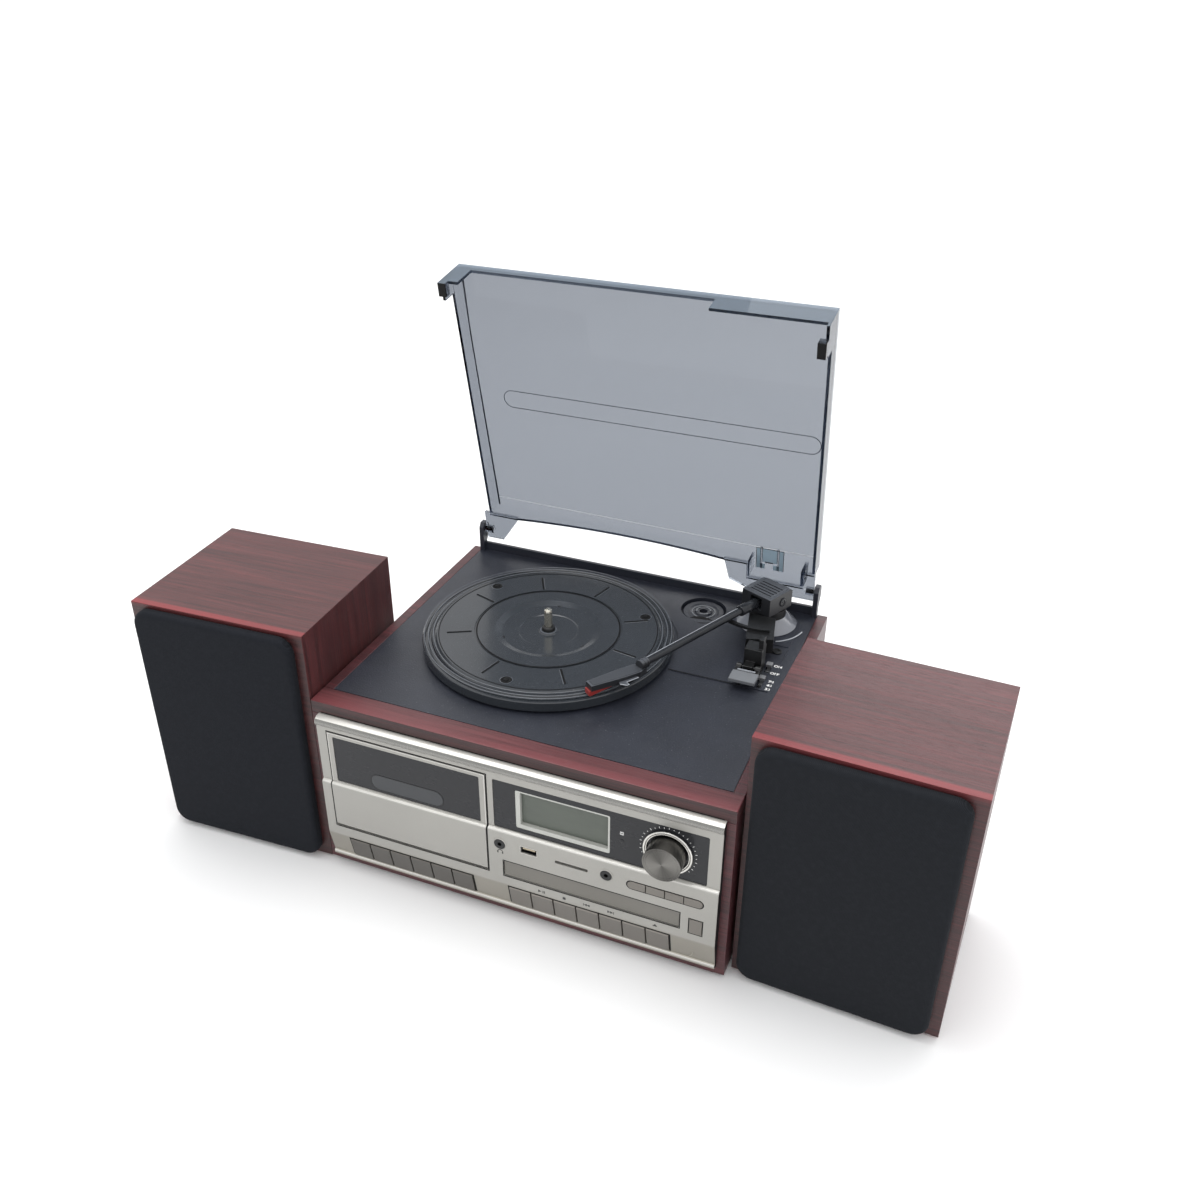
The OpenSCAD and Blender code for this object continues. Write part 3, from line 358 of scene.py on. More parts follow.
def cloth(name, code, turn):
    """Stretched speaker cloth: a fine plain weave, slightly uneven."""
    s = Shader(name, Roughness=0.9, Sheen_Weight=0.04, Sheen_Roughness=0.4, Specular_IOR_Level=0.1)
    across, _, up = s.split(s.turned_back(turn))
    warped = s.noise(70, 3, 0.6)
    threads = []
    for socket in (across, up):
        phase = s.math("ADD", s.times(socket, 5200.0), s.times(warped, 5.0))
        threads.append(s.math("SINE", phase))
    weave = s.times(threads[0], threads[1])
    height = s.times(s.math("ADD", weave, 1.0), 0.5)
    low, high = scaled_colour(rgb(code), 0.55), scaled_colour(rgb(code), 1.35)
    colour = s.ramp(height, [(0.1, low), (0.9, high)])
    lint = s.noise(240, 3, 0.6)
    colour = s.mix(s.grey_ramp(lint, (0.45, 0), (0.75, 0.35)), colour, high)
    s.feed("Base Color", colour)
    s.feed("Normal", s.bump(height, 0.0002, 0.6))
    return s.material


def smoked(name):
    """Smoked clear plastic, darker where the light's way through it is longer."""
    s = Shader(name, IOR=1.2)
    # Painted light: the front wall's outer face, up while the lid is open, is made paler, bluer and less
    # clear, for the light seen along its length of plastic
    painted_edge_light = s.times(s.grey_ramp(s.tilt("Z"), (0.8, 0), (0.95, 1)),
                   s.grey_ramp(s.position("Z"), (0.44, 0), (0.443, 1)))
    s.feed("Base Color", s.mix(painted_edge_light, rgb("a7aaae"), rgb("7f8c99")))
    s.feed("Transmission Weight", s.math("SUBTRACT", 1.0, s.times(painted_edge_light, 0.45)))
    haze = s.noise(9, 3, 0.5)
    s.feed("Roughness", s.grey_ramp(haze, (0.35, 0.004), (0.7, 0.02)))
    volume = s.add("ShaderNodeVolumeAbsorption")
    volume.inputs["Color"].default_value = rgb("b8bec8")
    volume.inputs["Density"].default_value = 300.0
    s.tree.links.new(volume.outputs[0], s.out.inputs["Volume"])
    return s.material


def glossy(name, code, rough=0.2, spread=0.06, coat=0.12):
    """Dark glossy window plastic with faint handling marks."""
    s = Shader(name, Coat_Weight=coat, Coat_Roughness=0.06, Specular_IOR_Level=0.3)
    smear = s.noise((40, 40, 90), 4, 0.6)
    low, high = scaled_colour(rgb(code), 1 - spread), scaled_colour(rgb(code), 1 + spread)
    s.feed("Base Color", s.ramp(smear, [(0.3, low), (0.7, high)]))
    s.feed("Roughness", s.grey_ramp(smear, (0.35, rough), (0.75, rough + 0.12)))
    return s.material


M = {
    # The woods' red bands along the tops' front edges are painted highlights, and their front factors are
    # painted shade
    "unit_wood": wood("unit_wood", "2f191c", "573033", "744143", (-0.143, -0.118, "7d343a", 0), front=0.5),
    "side_wood": wood("side_wood", "2e161a", "53292e", "6f3337"),
    "left_wood": wood("left_wood", "37191b", "5a2f30", "713a3a",
                      (-0.1314, -0.1234, "941f27", 0.2244), 2.5, 0.55),
    "right_wood": wood("right_wood", "391c1f", "5d2e31", "763a3d",
                       (-0.1209, -0.1129, "8f2229", 0.2244), -2.3, 0.55),
    "deck": plastic("deck", "282b34", 0.4, 800, 0.0002, 0.9, 0.16, dust=0.35),
    "platter": plastic("platter", "2e3237", 0.24, 1700, 0.00004, 0.5, 0.1, dust=0.2, coat=0.3),
    # The arm's top factor paints light on its upper faces and shade on its sides
    "arm": plastic("arm", "505359", 0.36, 2400, 0.00001, 0.3, 0.1, top=4.3),
    "arm_tube": plastic("arm_tube_paint", "26282c", 0.24, 2400, 0.000006, 0.2, 0.08, coat=0.1,
                        specular=0.3),
    "black": plastic("black_plastic", "121314", 0.4, 2000, 0.00002, 0.4, 0.12),
    "grey": plastic("grey_plastic", "7d7f82", 0.5, 2000, 0.00002, 0.4, 0.08),
    "pad": plastic("pad_plastic", "74777b", 0.5, 2000, 0.00002, 0.4, 0.08),
    "silver": silver("silver_lacquer", "b7b5af", 0.34, 0.5, "f6f2ea"),
    "button": silver("button_lacquer", "858079", 0.4, 0.35),
    "key": silver("key_lacquer", "625e58", 0.42, 0.3),
    # Bright silver for the real rim of the universal socket and for painted highlights along the front's
    # edges
    "bright": silver("bright_trim_and_highlight", "dedcd6", 0.3, 0.45),
    # Darker silver that paints shade on the middle of the moulding
    "moulding": silver("painted_moulding_shade", "8d8c88", 0.2, 0.6),
    "line": plastic("gap_shade", "101011", 0.6, 1800, 0.00001, 0.2, 0.1, specular=0.2),
    # Lighter greys that paint highlights on edges, rings, lips and ridges
    "rim": plastic("dim_highlight", "565a60", 0.16, 1900, 0.00001, 0.2, 0.08, coat=0.5),
    "painted_highlight": plastic("painted_highlight", "9a9ea4", 0.2, 1900, 0.00001, 0.2, 0.06, coat=0.5),
    "head_top": plastic("head_top", "3f4247", 0.4, 1500, 0.0001, 0.6, 0.1, dust=0.2),
    "bracket": plastic("lid_bracket", "a8bfce", 0.25, 900, 0.00006, 0.4, 0.16, coat=0.4),
    "cone_grey": plastic("arm_cone", "7a7d84", 0.2, 1900, 0.00001, 0.25, 0.08, coat=0.6),
    "lid_light": plastic("lid_highlight", "f4f6f8", 0.2, 1800, 0.00001, 0.2, 0.03),
    "drawer": silver("drawer_lacquer", "827f78", 0.36, 0.4),
    "window": glossy("window_plastic", "252629", spread=0.03),
    "bezel": plastic("bezel_plastic", "b9bab4", 0.3, 1800, 0.00001, 0.2, 0.04, coat=0.3),
    "lcd": glossy("display_glass", "5c615a", 0.3, 0.05, 0.1),
    "tape_slot": glossy("tape_slot_glass", "3e4043", 0.16, 0.06, 0.2),
    "tongue": plastic("tongue_plastic", "b9ad96", 0.5, 1600, 0.00001, 0.2, 0.06),
    "lid": smoked("smoked_lid"),
    "lid_line": plastic("lid_line", "1f2733", 0.3, 1800, 0.00001, 0.2, 0.05),
    # The knob's sectors paint a fan of highlights and shade on its face
    "knob": spun("knob_metal", "878581", (129.5, -160, 119.6), "Y", 0.3, 0.6),
    "chrome": spun("chrome_ring", "e4e2dd", (129.5, -160, 119.6), "Y", 0.1),
    "spindle": spun("spindle_steel", "d9d5c8", (-37.5, 13.5, 0), "Z", 0.16),
    "motor": spun("motor_steel", "a9a9a6", (-97, -46, 0), "Z", 0.3),
    "pulley": spun("pulley_brass", "c9a45c", (-97, -46, 0), "Z", 0.22),
    "rubber": plastic("rubber", "0d0d0e", 0.7, 1500, 0.00004, 0.5, 0.15, specular=0.3),
    "stylus": plastic("stylus_red", "93302c", 0.3, 1500, 0.00001, 0.2, 0.08, coat=0.4),
    "board": plastic("board_lacquer", "1f4a2c", 0.35, 700, 0.00006, 0.5, 0.25, coat=0.4),
    "chassis": plastic("chassis_plastic", "7e7f80", 0.5, 1500, 0.00003, 0.4, 0.1),
    "print": plastic("white_print", "f4f4f2", 0.6, 1500, 0.00001, 0.2, 0.04),
    "ink": plastic("grey_print", "3b3b3a", 0.6, 1500, 0.00001, 0.2, 0.06),
    "gold": spun("contact_brass", "d9b868", (-140, 146, 50), "Y", 0.2),
    "red": plastic("red_plastic", "a01c1c", 0.35, 1500, 0.00001, 0.2, 0.08),
    "left_cloth": cloth("left_cloth", "202227", 2.5),
    "right_cloth": cloth("right_cloth", "222428", -2.3),
    "cone": plastic("paper_cone", "1b1c1e", 0.8, 500, 0.0001, 0.7, 0.2, specular=0.3),
}


def by_node(groups):
    """One entry for each node from entries that list several."""
    return {node: value for value, nodes in groups.items() for node in nodes.split()}


# Nodes that aren't here have the look of their own name
NODE_LOOKS = by_node({
    "side_wood": "side_board_left side_board_right bottom_board",
    "unit_wood": "front_rail",
    "black": "rear_panel arm_base arm_rest cue_lever lift_platform front_sockets",
    "rubber": "unit_feet drive_belt",
    "deck": "deck_plate adapter_45",
    "grey": "speed_switch autostop_switch",
    "motor": "deck_motor",
    "pulley": "motor_pulley",
    "arm": "arm_block headshell",
    "silver": "fascia cassette_door",
    "window": "display_window cassette_window",
    "bezel": "display_module",
    "knob": "volume_knob",
    "button": "power_button",
    "board": "front_board main_board",
    "drawer": "cd_tray",
    "chassis": "cd_chassis cassette_chassis",
    "left_wood": "left_speaker_box",
    "cone": "left_driver right_driver",
    "left_cloth": "left_grille",
    "right_wood": "right_speaker_box",
    "right_cloth": "right_grille",
})
# Bevel width of the nodes with sharp edges, in mm
EDGE = by_node({
    0.5: "side_board_left side_board_right",
    0.6: "front_rail",
    0.7: "left_speaker_box right_speaker_box",
    0.25: "cd_tray power_button cassette_door",
    0.35: "arm_block",
    0.3: "arm_rest cue_lever headshell stylus speed_switch autostop_switch lift_platform",
})


def soften(obj, width):
    """Rounds the sharp edges of a piece a little, so that they catch the light."""
    weld = obj.modifiers.new("weld", "WELD")
    weld.merge_threshold = 1e-6
    flat = obj.modifiers.new("flat", "DECIMATE")
    flat.decimate_type = "DISSOLVE"
    flat.angle_limit = math.radians(0.6)
    bevel = obj.modifiers.new("bevel", "BEVEL")
    bevel.width = width * MM
    bevel.segments = 2
    bevel.limit_method = "ANGLE"
    bevel.angle_limit = math.radians(35)
    smooth = obj.modifiers.new("normals", "WEIGHTED_NORMAL")
    smooth.keep_sharp = True


for node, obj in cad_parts.items():
    if node.startswith(("cassette_key_", "function_button_", "mode_button_")):
        look, width = "key" if node.startswith("cassette_key_") else "button", 0.3
    else:
        look, width = NODE_LOOKS.get(node, node), EDGE.get(node)
    if not obj.data.materials:
        obj.data.materials.append(M[look])
    for i in range(len(obj.data.materials)):
        obj.data.materials[i] = M[look]
    if width:
        soften(obj, width)

# Meshes


def polar(r, degrees, at=(0, 0)):
    """Point at a distance and an angle from a place."""
    a = math.radians(degrees)
    return at[0] + r * math.cos(a), at[1] + r * math.sin(a)


def oval(x, y, a, b, n):
    """Points of an ellipse."""
    angles = [2 * math.pi * k / n for k in range(n)]
    return [(x + a * math.cos(t), y + b * math.sin(t)) for t in angles]


def rounded(w, h, r, n):
    """Outline of a rectangle with round corners."""
    points = []
    for q in range(4):
        cx = (1 if q in (0, 3) else -1) * (w / 2 - r)
        cy = (1 if q < 2 else -1) * (h / 2 - r)
        points += [polar(r, 90 * (q + k / n), (cx, cy)) for k in range(n + 1)]
    return points


def stadium(x0, x1, y, r, n=14):
    """Outline of a bar with round ends."""
    right = [polar(r, -90 + 180 * k / n, (x1 - r, y)) for k in range(n + 1)]
    left = [polar(r, 90 + 180 * k / n, (x0 + r, y)) for k in range(n + 1)]
    return right + left


def inset(outline, by):
    """Moves the corners of a convex outline inwards."""
    cx = sum(p[0] for p in outline) / len(outline)
    cy = sum(p[1] for p in outline) / len(outline)
    half_x = max(abs(p[0] - cx) for p in outline)
    half_y = max(abs(p[1] - cy) for p in outline)
    return [(cx + (x - cx) * (1 - by / half_x), cy + (y - cy) * (1 - by / half_y)) for x, y in outline]


def level(points, z):
    """Points in X and Y, lifted to a height."""
    return [(x, y, z) for x, y in points]


def placed(name, data):
    """Object in the scene."""
    obj = bpy.data.objects.new(name, data)
    bpy.context.scene.collection.objects.link(obj)
    return obj


class Build:
    """Collects a mesh in millimetres of one frame and makes a piece of it."""

    def __init__(self, matrix):
        self.matrix = matrix
        self.mesh = bmesh.new()

    def loft(self, rings, closed=False):
        """Joins rings of equally many points, and caps the ends unless the last meets the first."""
        made = [[self.mesh.verts.new(p) for p in ring] for ring in rings]
        for a, b in zip(made, made[1:] + (made[:1] if closed else [])):
            for i in range(len(a)):
                j = (i + 1) % len(a)
                self.mesh.faces.new((a[i], a[j], b[j], b[i]))
        if not closed:
            self.mesh.faces.new(list(reversed(made[0])))
            self.mesh.faces.new(made[-1])

    def slab(self, outline, z0, z1, edge=0.0):
        """Plate over an outline in X and Y with softened upper edges."""
        rings = [level(outline, z0)]
        if edge:
            rings.append(level(outline, z1 - edge))
            outline = inset(outline, edge * 0.7)
        rings.append(level(outline, z1))
        self.loft(rings)

    def box(self, low, high, edge=0.0):
        (x0, y0, z0), (x1, y1, z1) = low, high
        self.slab([(x0, y0), (x1, y0), (x1, y1), (x0, y1)], z0, z1, edge)

    def turn(self, profile, n, at=(0, 0), closed=False):
        """Body of revolution around Z: profile holds radius and height."""
        self.loft([level(oval(*at, r, r, n), z) for r, z in profile], closed)

    def tube(self, path, radius, n, closed=False, flat=1.0):
        """Round bar along a path of points."""
        points = [Vector(p) for p in path]
        rings = []
        count = len(points)
        for i, p in enumerate(points):
            before = points[i - 1] if i or closed else p
            after = points[(i + 1) % count] if i < count - 1 or closed else p
            along = (after - before).normalized()
            side = along.cross(Vector((0, 0, 1)))
            side = side.normalized() if side.length > 1e-4 else Vector((1, 0, 0))
            up = side.cross(along)
            rings.append([
                p + side * radius * math.cos(2 * math.pi * k / n)
                + up * radius * flat * math.sin(2 * math.pi * k / n)
                for k in range(n)
            ])
        self.loft(rings, closed)

    def piece(self, name, look, body, smooth):
        bmesh.ops.recalc_face_normals(self.mesh, faces=self.mesh.faces)
        data = bpy.data.meshes.new(name)
        self.mesh.transform(self.matrix)
        self.mesh.to_mesh(data)
        self.mesh.free()
        obj = placed(name, data)
        data.materials.append(M[look])
        if smooth:
            data.shade_smooth()
            data.set_sharp_from_angle(angle=math.radians(smooth))
        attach(obj, body)
        return obj


def turned_piece(name, look, body, matrix, profile, n, smooth=40, closed=False, places=((0, 0),)):
    """The same body of revolution at one place or more, as a piece."""
    b = Build(matrix)
    for at in places:
        b.turn(profile, n, at, closed)
    b.piece(name, look, body, smooth)


def bar_piece(name, look, body, matrix, paths, radius, n=8, flat=1.0, closed=False):
    """Round bars along paths, as one piece."""
    b = Build(matrix)
    for path in paths:
        b.tube(path, radius, n, closed, flat)
    b.piece(name, look, body, 60)


def box_piece(name, look, body, matrix, boxes, edge):
    """Boxes with softened upper edges, as one piece."""
    b = Build(matrix)
    for low, high in boxes:
        b.box(low, high, edge)
    b.piece(name, look, body, 30)


# Speaker cloth


def grille(side):
    """Cloth pulled over a rounded frame, crowned in front and folded in behind."""
    w, h, r, t = SPEAKER_W - 13, SPEAKER_H - 7, 13, 9
    b = Build(speaker_frame(side) @ Matrix.Translation((-1.5, 0, SPEAKER_H / 2)) @ turned(90, "X"))
    steps = [(8.5, 1.8), (8.5, 0.15), (0.6, 0.15), (0.1, 0.5), (0, 2), (0, t - 4.2)]
    for k in range(1, 7):
        a = math.radians(15 * k)
        steps.append((4 * (1 - math.cos(a)), t - 4.2 + 4 * math.sin(a)))
    for extra, rise in ((6, 0.04), (10, 0.08), (16, 0.11), (24, 0.14), (34, 0.16), (46, 0.18), (58, 0.19)):
        steps.append((extra, t - 0.2 + rise * 0.9))
    b.loft([
        level(rounded(w - 2 * depth, h - 2 * depth, max(r - depth * 0.75, 2.0), 10), out)
        for depth, out in steps
    ])
    obj = b.piece(side + "_grille_cloth", side + "_cloth", "cabinet", 60)
    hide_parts(side + "_grille")


for side in ("left", "right"):
    grille(side)


# Platter: three plugs with rims lightened as painted highlights, bars with painted highlights along their
# edges, small holes, and rings


def platter_frame(height):
    return unit(*SPINDLE, DECK_Z + height)


on_mat = platter_frame(MAT_H)
pips = [polar(86, angle) for angle in (147, -89, 34)]
turned_piece("platter_pips", "line", "platter", on_mat,
             [(4.6, -0.3), (4.6, 0.2), (4.2, 0.55), (3.4, 0.55), (3.1, 0.3), (2.2, 0.3), (1.9, 0.9),
              (1.2, 1.15), (0.02, 1.2)], 28, places=pips)
turned_piece("platter_pip_rims", "rim", "platter", on_mat,
             [(4.8, -0.1), (5.4, -0.1), (5.3, 0.25), (4.9, 0.3)], 28, closed=True, places=pips)

b = Build(on_mat)
edges = []
for angle in (75, 30, -10, -57, -104, -152, 162, 118):
    a = math.radians(angle)
    along = Vector((math.cos(a), math.sin(a), 0))
    side = Vector((-math.sin(a), math.cos(a), 0)) * 0.75
    ends = [along * 66, along * 87]
    low = [ends[0] - side, ends[0] + side, ends[1] + side, ends[1] - side]
    b.loft([[p + Vector((0, 0, -0.2)) for p in low], [p + Vector((0, 0, 0.25)) for p in low],
            [p * 0.999 + Vector((0, 0, 0.42)) for p in low]])
    edges.append((ends[0] - side * 1.6, ends[1] - side * 1.6))
b.piece("platter_bars", "line", "platter", 30)
bar_piece("platter_bar_edges", "rim", "platter", on_mat, edges, 0.32, 6, 0.7)

turned_piece("platter_plugs", "black", "platter", platter_frame(MAT_H - 2.1),
             [(1.9, -0.1), (1.9, 0.15), (1.5, 0.25), (0.6, 0.25), (0.5, 0.0), (0.02, 0.0)], 20,
             places=[polar(40.5, angle) for angle in (100, 220, 340)])

# Dark sleeve around the spindle's foot, and the ring that it stands in, lightened as a painted highlight
foot = platter_frame(MAT_H - 2.2)
turned_piece("spindle_sleeve", "black", "platter", foot,
             [(3.62, 0.02), (5.6, 0.02), (5.6, 2.6), (5.1, 3.6), (3.9, 4.2), (3.62, 4.0)], 40, closed=True)
turned_piece("spindle_washer", "rim", "platter", foot,
             [(5.8, 0.02), (7.4, 0.02), (7.2, 0.4), (6.0, 0.5)], 40, closed=True)

b = Build(on_mat)
for r, w in ((93.5, 0.9), (61.0, 1.3)):
    b.turn([(r, -0.15), (r + w, -0.15), (r + w - 0.1, 0.22), (r + 0.1, 0.22)], 96, closed=True)
b.piece("platter_rings", "line", "platter", 50)

# Painted highlights: three pale rings near the platter's edge
b = Build(on_mat)
for r in (106.2, 102.6, 98.4):
    b.turn(oval(r, 0.05, 0.42, 0.34, 6), 120, closed=True)
b.piece("platter_bright_rings", "rim", "platter", 70)


# Deck: printed marks, screw cap, pale arc, step line and the cone around the arm's column


def deck_mark(name, text, x, y):
    """Raised print as a mesh, centred on its place."""
    curve = bpy.data.curves.new(name, "FONT")
    curve.body = text
    curve.size = 4.4
    curve.align_x = "CENTER"
    curve.align_y = "CENTER"
    curve.extrude = 0.06
    curve.offset = 0.16
    curve.resolution_u = 3
    source = placed(name + "_text", curve)
    bpy.context.view_layer.update()
    data = bpy.data.meshes.new_from_object(source)
    bpy.data.objects.remove(source)
    data.transform(unit(x, y, DECK_Z + 0.16))
    data.name = name
    data.materials.clear()
    data.materials.append(M["print"])
    obj = placed(name, data)
    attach(obj, "cabinet")


for name, text, x, y in (
    ("speed_33", "33", 157.3, 154.4), ("speed_45", "45", 157.3, 160.2), ("speed_78", "78", 157.3, 166.0),
    ("stop_off", "OFF", 157.0, 178.6), ("stop_on", "ON", 157.0, 190.0),
):
    deck_mark("mark_" + name, text, x, y)

turned_piece("deck_screw_cap", "black", "cabinet", unit(0, 0, PLATE_Z),
             [(4.4, -0.2), (4.4, 0.5), (4.0, 0.9), (2.8, 0.9), (2.6, 0.4), (0.02, 0.4)], 32,
             places=[(150, 212)])
# Painted highlight: a pale arc around the arm's base
bar_piece("deck_arc_highlight", "painted_highlight", "cabinet", unit(*PIVOT, PLATE_Z),
          [level([polar(34, a) for a in range(-62, -9, 4)], 0.12)], 0.8, flat=0.6)
# Painted shade: a dark line along the raised plate's step
bar_piece("deck_plate_edge", "line", "cabinet", unit(0, 0, PLATE_Z),
          [[(73, 151.2, 0), (135, 151.2, 0)]], 0.45, flat=0.6)
turned_piece("arm_base_cone", "cone_grey", "cabinet", unit(*PIVOT, PLATE_Z),
             [(26.0, 0.05), (26.6, 0.5), (26.0, 1.1), (17.4, 9.6), (16.5, 10.0), (16.05, 9.6),
              (22.2, 4.2), (24.0, 0.05)], 72, 50, True)


# Adapter: raised middle with three lobes and a ring around them, lightened as painted highlights, and
# painted shade in its notch

in_recess = unit(*ADAPTER, DECK_Z - 3 - 1.4)
b = Build(in_recess)
for k in range(3):
    inner = [polar(5.6, 120 * k + 12 + 16 * i) for i in range(6)]
    outer = [polar(6.9, 120 * k + 12 + 16 * i) for i in reversed(range(6))]
    b.slab(inner + outer, 3.2, 3.9)
b.turn([(9.6, 2.1), (11.2, 2.1), (10.9, 2.75), (9.9, 2.75)], 48, closed=True)
b.piece("adapter_lobes", "rim", "adapter", 40)

# Painted highlight on the lip of the recess, and painted shade in the finger hollow at its front
turned_piece("adapter_recess_lip", "rim", "cabinet", unit(*ADAPTER, DECK_Z),
             [(20.7, -0.3), (21.5, -0.1), (21.5, 0.28), (21.0, 0.42), (20.7, 0.2)], 80, 50, True)

crescent = [polar(8.8, k + 90, (4, -15)) for k in range(0, 361, 6)]
crescent = [p for p in crescent if math.hypot(*p) > 19.9]
start, end = (math.degrees(math.atan2(y, x)) for x, y in (crescent[-1], crescent[0]))
crescent += [polar(19.9, start + (end - start) * k / 8) for k in range(1, 8)]
b = Build(unit(*ADAPTER, DECK_Z - 1.95))
b.slab(crescent, 0.0, 0.1)
b.piece("adapter_finger_hollow", "line", "cabinet", 0)

notch = []
for k in range(0, 361, 6):
    x, y = polar(1, k + 90)
    if math.hypot(3 + 11.5 * x, -17 + 7.5 * y) < 18.2:
        notch.append((3 + 11.5 * x, -17 + 7.5 * y))
b = Build(in_recess)
b.slab(sorted(notch, key=lambda p: math.atan2(p[1] + 14.5, p[0] - 2)), 2.9, 3.06)
b.piece("adapter_notch", "line", "adapter", 0)


# Tonearm: bearings of the head block and a painted highlight along its rim, collar, a painted highlight
# along the tube's edge, and rings of the tube

box_piece("arm_block_rim", "rim", "arm_head", arm_frame(), [
    ((-12.6, -14.6, 35.4), (12.6, -13.8, 35.95)), ((-12.6, 10.6, 35.4), (12.6, 11.4, 35.95)),
    ((-13.0, -14.6, 35.4), (-12.2, 11.4, 35.95)), ((12.2, -14.6, 35.4), (13.0, 11.4, 35.95)),
], 0.2)

for sign, label in ((1, "right"), (-1, "left")):
    turned_piece("arm_bearing_" + label, "arm_tube", "arm_head",
                 arm_frame() @ Matrix.Translation((sign * 15.4, 0, TUBE_H)) @ turned(90 * sign, "Y"),
                 [(4.2, -0.2), (4.2, 0.7), (3.6, 1.1), (2.4, 1.1), (2.1, 0.5), (0.9, 0.5), (0.7, 0.9),
                  (0.02, 0.9)], 28)

turned_piece("arm_tube_collar", "arm_tube", "arm",
             arm_frame() @ Matrix.Translation((0, -19.5, TUBE_H)) @ turned(90, "X"),
             [(3.25, -1.0), (4.5, -1.0), (4.8, -0.6), (4.8, 19.0), (4.3, 19.8), (3.25, 19.8)], 40,
             closed=True)
bar_piece("arm_tube_edge", "painted_highlight", "arm", arm_frame() @ Matrix.Translation((-1.5, 0, TUBE_H + 2.75)),
          [[(0, -41, 0), (0, -TUBE_LEN + 2, 0)]], 0.55, flat=0.6)

b = Build(arm_frame() @ Matrix.Translation((0, 1 - TUBE_LEN, TUBE_H)) @ turned(90, "X"))
for z in (0, 3.2, 6.4):
    b.turn([(3.3, z), (4.35, z), (4.35, z + 1.4), (3.3, z + 1.4)], 32, closed=True)
b.piece("arm_tube_rings", "arm", "arm", 40)

# Textured top plate of the head, and a painted highlight along the edge of its finger lift
b = Build(head_frame())
b.slab([(-3.6, -51.0), (3.6, -51.0), (5.4, -24.0), (5.4, -9.8), (2.4, -2.2), (-2.4, -2.2), (-5.4, -9.8),
        (-5.4, -24.0)], 19.6 + 4.7, 19.6 + 5.5, 0.35)
b.piece("headshell_plate", "head_top", "arm", 25)
bar_piece("finger_lift_edge", "painted_highlight", "arm", head_frame(),
          [level([(8.5, -12.2), (9.3, -23.8), (13.4, -24.1), (13.4, -26.0), (9.2, -29.8)], 21.7)],
          0.45, flat=0.8)

# Cue lever's pale pad, and a bright strip behind it, drawn in the painted highlight grey
box_piece("cue_lever_pad", "pad", "cue_lever", unit(*LEVER),
          [((-11.0, -22.7, -1.3), (11.0, -8.6, 1.4))], 0.4)
box_piece("cue_lever_bright_strip", "painted_highlight", "cue_lever", unit(*LEVER),
          [((-7.6, -7.9, 1.0), (7.6, -6.3, 1.8))], 0.2)


# Lid: outline of its groove, lines, pocket and rubber pads


def lid_lines(name, look, lines):
    """Bars along the panel's inside: each has its points, depth below the panel, radius and sides."""
    b = Build(lid_frame())
    for points, down, radius, n in lines:
        b.tube(level(points, LID_PANEL - down), radius, n)
    b.piece(name, look, "lid", 60)


bar_piece("lid_groove", "lid_line", "lid", lid_frame(),
          [level(stadium(-134, 157, -141.5, 8.5), LID_PANEL)], 0.34, closed=True)

# Painted shade: dark lines where the clear panel meets its walls, and along the edges of the pocket's ribs
lid_lines("lid_corner_lines", "lid_line", [
    ([(-159.6, -261.6), (-159.6, -200.0), (-153.0, -21.6)], 0.5, 0.85, 8),
    ([(160.0, -261.6), (160.0, -21.0)], 0.4, 0.5, 8),
    ([(-159.6, -261.6), (67.0, -261.6), (160.0, -261.6)], 0.5, 0.45, 8),
] + [([(x + side, -28.6), (x + side, -4.6)], 1.0, 0.25, 6) for x in (109.5, 125.0) for side in (0.1, 1.5)])
# Painted highlight: a pale line along the lid's lower back curve
lid_lines("lid_light_line", "lid_light", [
    ([(103.8, -27.5), (150.2, -27.5), (159.6, -27.5)], 0.2, 0.3, 6),
    ([(-152.0, -30.0), (103.8, -27.5)], 0.2, 0.2, 6),
])

# Bluish bracket between the pocket's ribs, and its dark outline
box_piece("lid_pocket_bracket", "bracket", "lid", lid_frame(), [
    ((106.0, -26.5, LID_PANEL - 0.8), (109.3, -9.0, LID_PANEL - 0.3)),
    ((111.4, -26.5, LID_PANEL - 0.8), (124.8, -12.0, LID_PANEL - 0.3)),
    ((126.9, -26.5, LID_PANEL - 0.8), (130.4, -9.0, LID_PANEL - 0.3)),
    ((106.0, -9.6, LID_PANEL - 0.9), (113.6, -4.6, LID_PANEL - 0.3)),
    ((121.4, -9.6, LID_PANEL - 0.9), (130.4, -4.6, LID_PANEL - 0.3)),
], 0.15)
lid_lines("lid_pocket_outline", "lid_line", [
    ([(105.8, -26.8), (130.6, -26.8)], 0.7, 0.28, 6),
    ([(105.6, -26.8), (105.6, -4.6)], 0.7, 0.28, 6),
    ([(130.8, -26.8), (130.8, -4.6)], 0.7, 0.28, 6),
    ([(113.8, -12.0), (121.2, -12.0)], 0.8, 0.7, 6),
])

box_piece("lid_pads", "rubber", "lid", lid_frame(), [
    ((-162.8, -264.7, -22.95), (-156.1, -252.9, -21.2)),
    ((156.1, -253.7, -22.95), (162.8, -240.9, -21.2)),
], 0.3)


# Silver front: painted shade in its gaps and painted highlights along its edges, drawn as thin strips along
# its own profile


def row_y(z):
    """Depth of the sloped face between the lip and the flat part of the front."""
    return -3.8 - (z - FRONT_Z - 5.2) / 21.8 * 4.5


def strip(b, x0, x1, line, out=0.06, under=0.3):
    """Thin strip from x0 to x1 along a line of depth and height."""
    b.loft([[(x0, y + under, z), (x1, y + under, z), (x1, y - out, z), (x0, y - out, z)] for y, z in line])


def frame_strips(b, x0, x1, z0, z1, w, y=LOWER_Y):
    """Four strips around an opening in the flat front."""
    strip(b, x0 - w, x1 + w, [(y, z1), (y, z1 + w)])
    strip(b, x0 - w, x1 + w, [(y, z0 - w), (y, z0)])
    strip(b, x0 - w, x0, [(y, z0), (y, z1)])
    strip(b, x1, x1 + w, [(y, z0), (y, z1)])


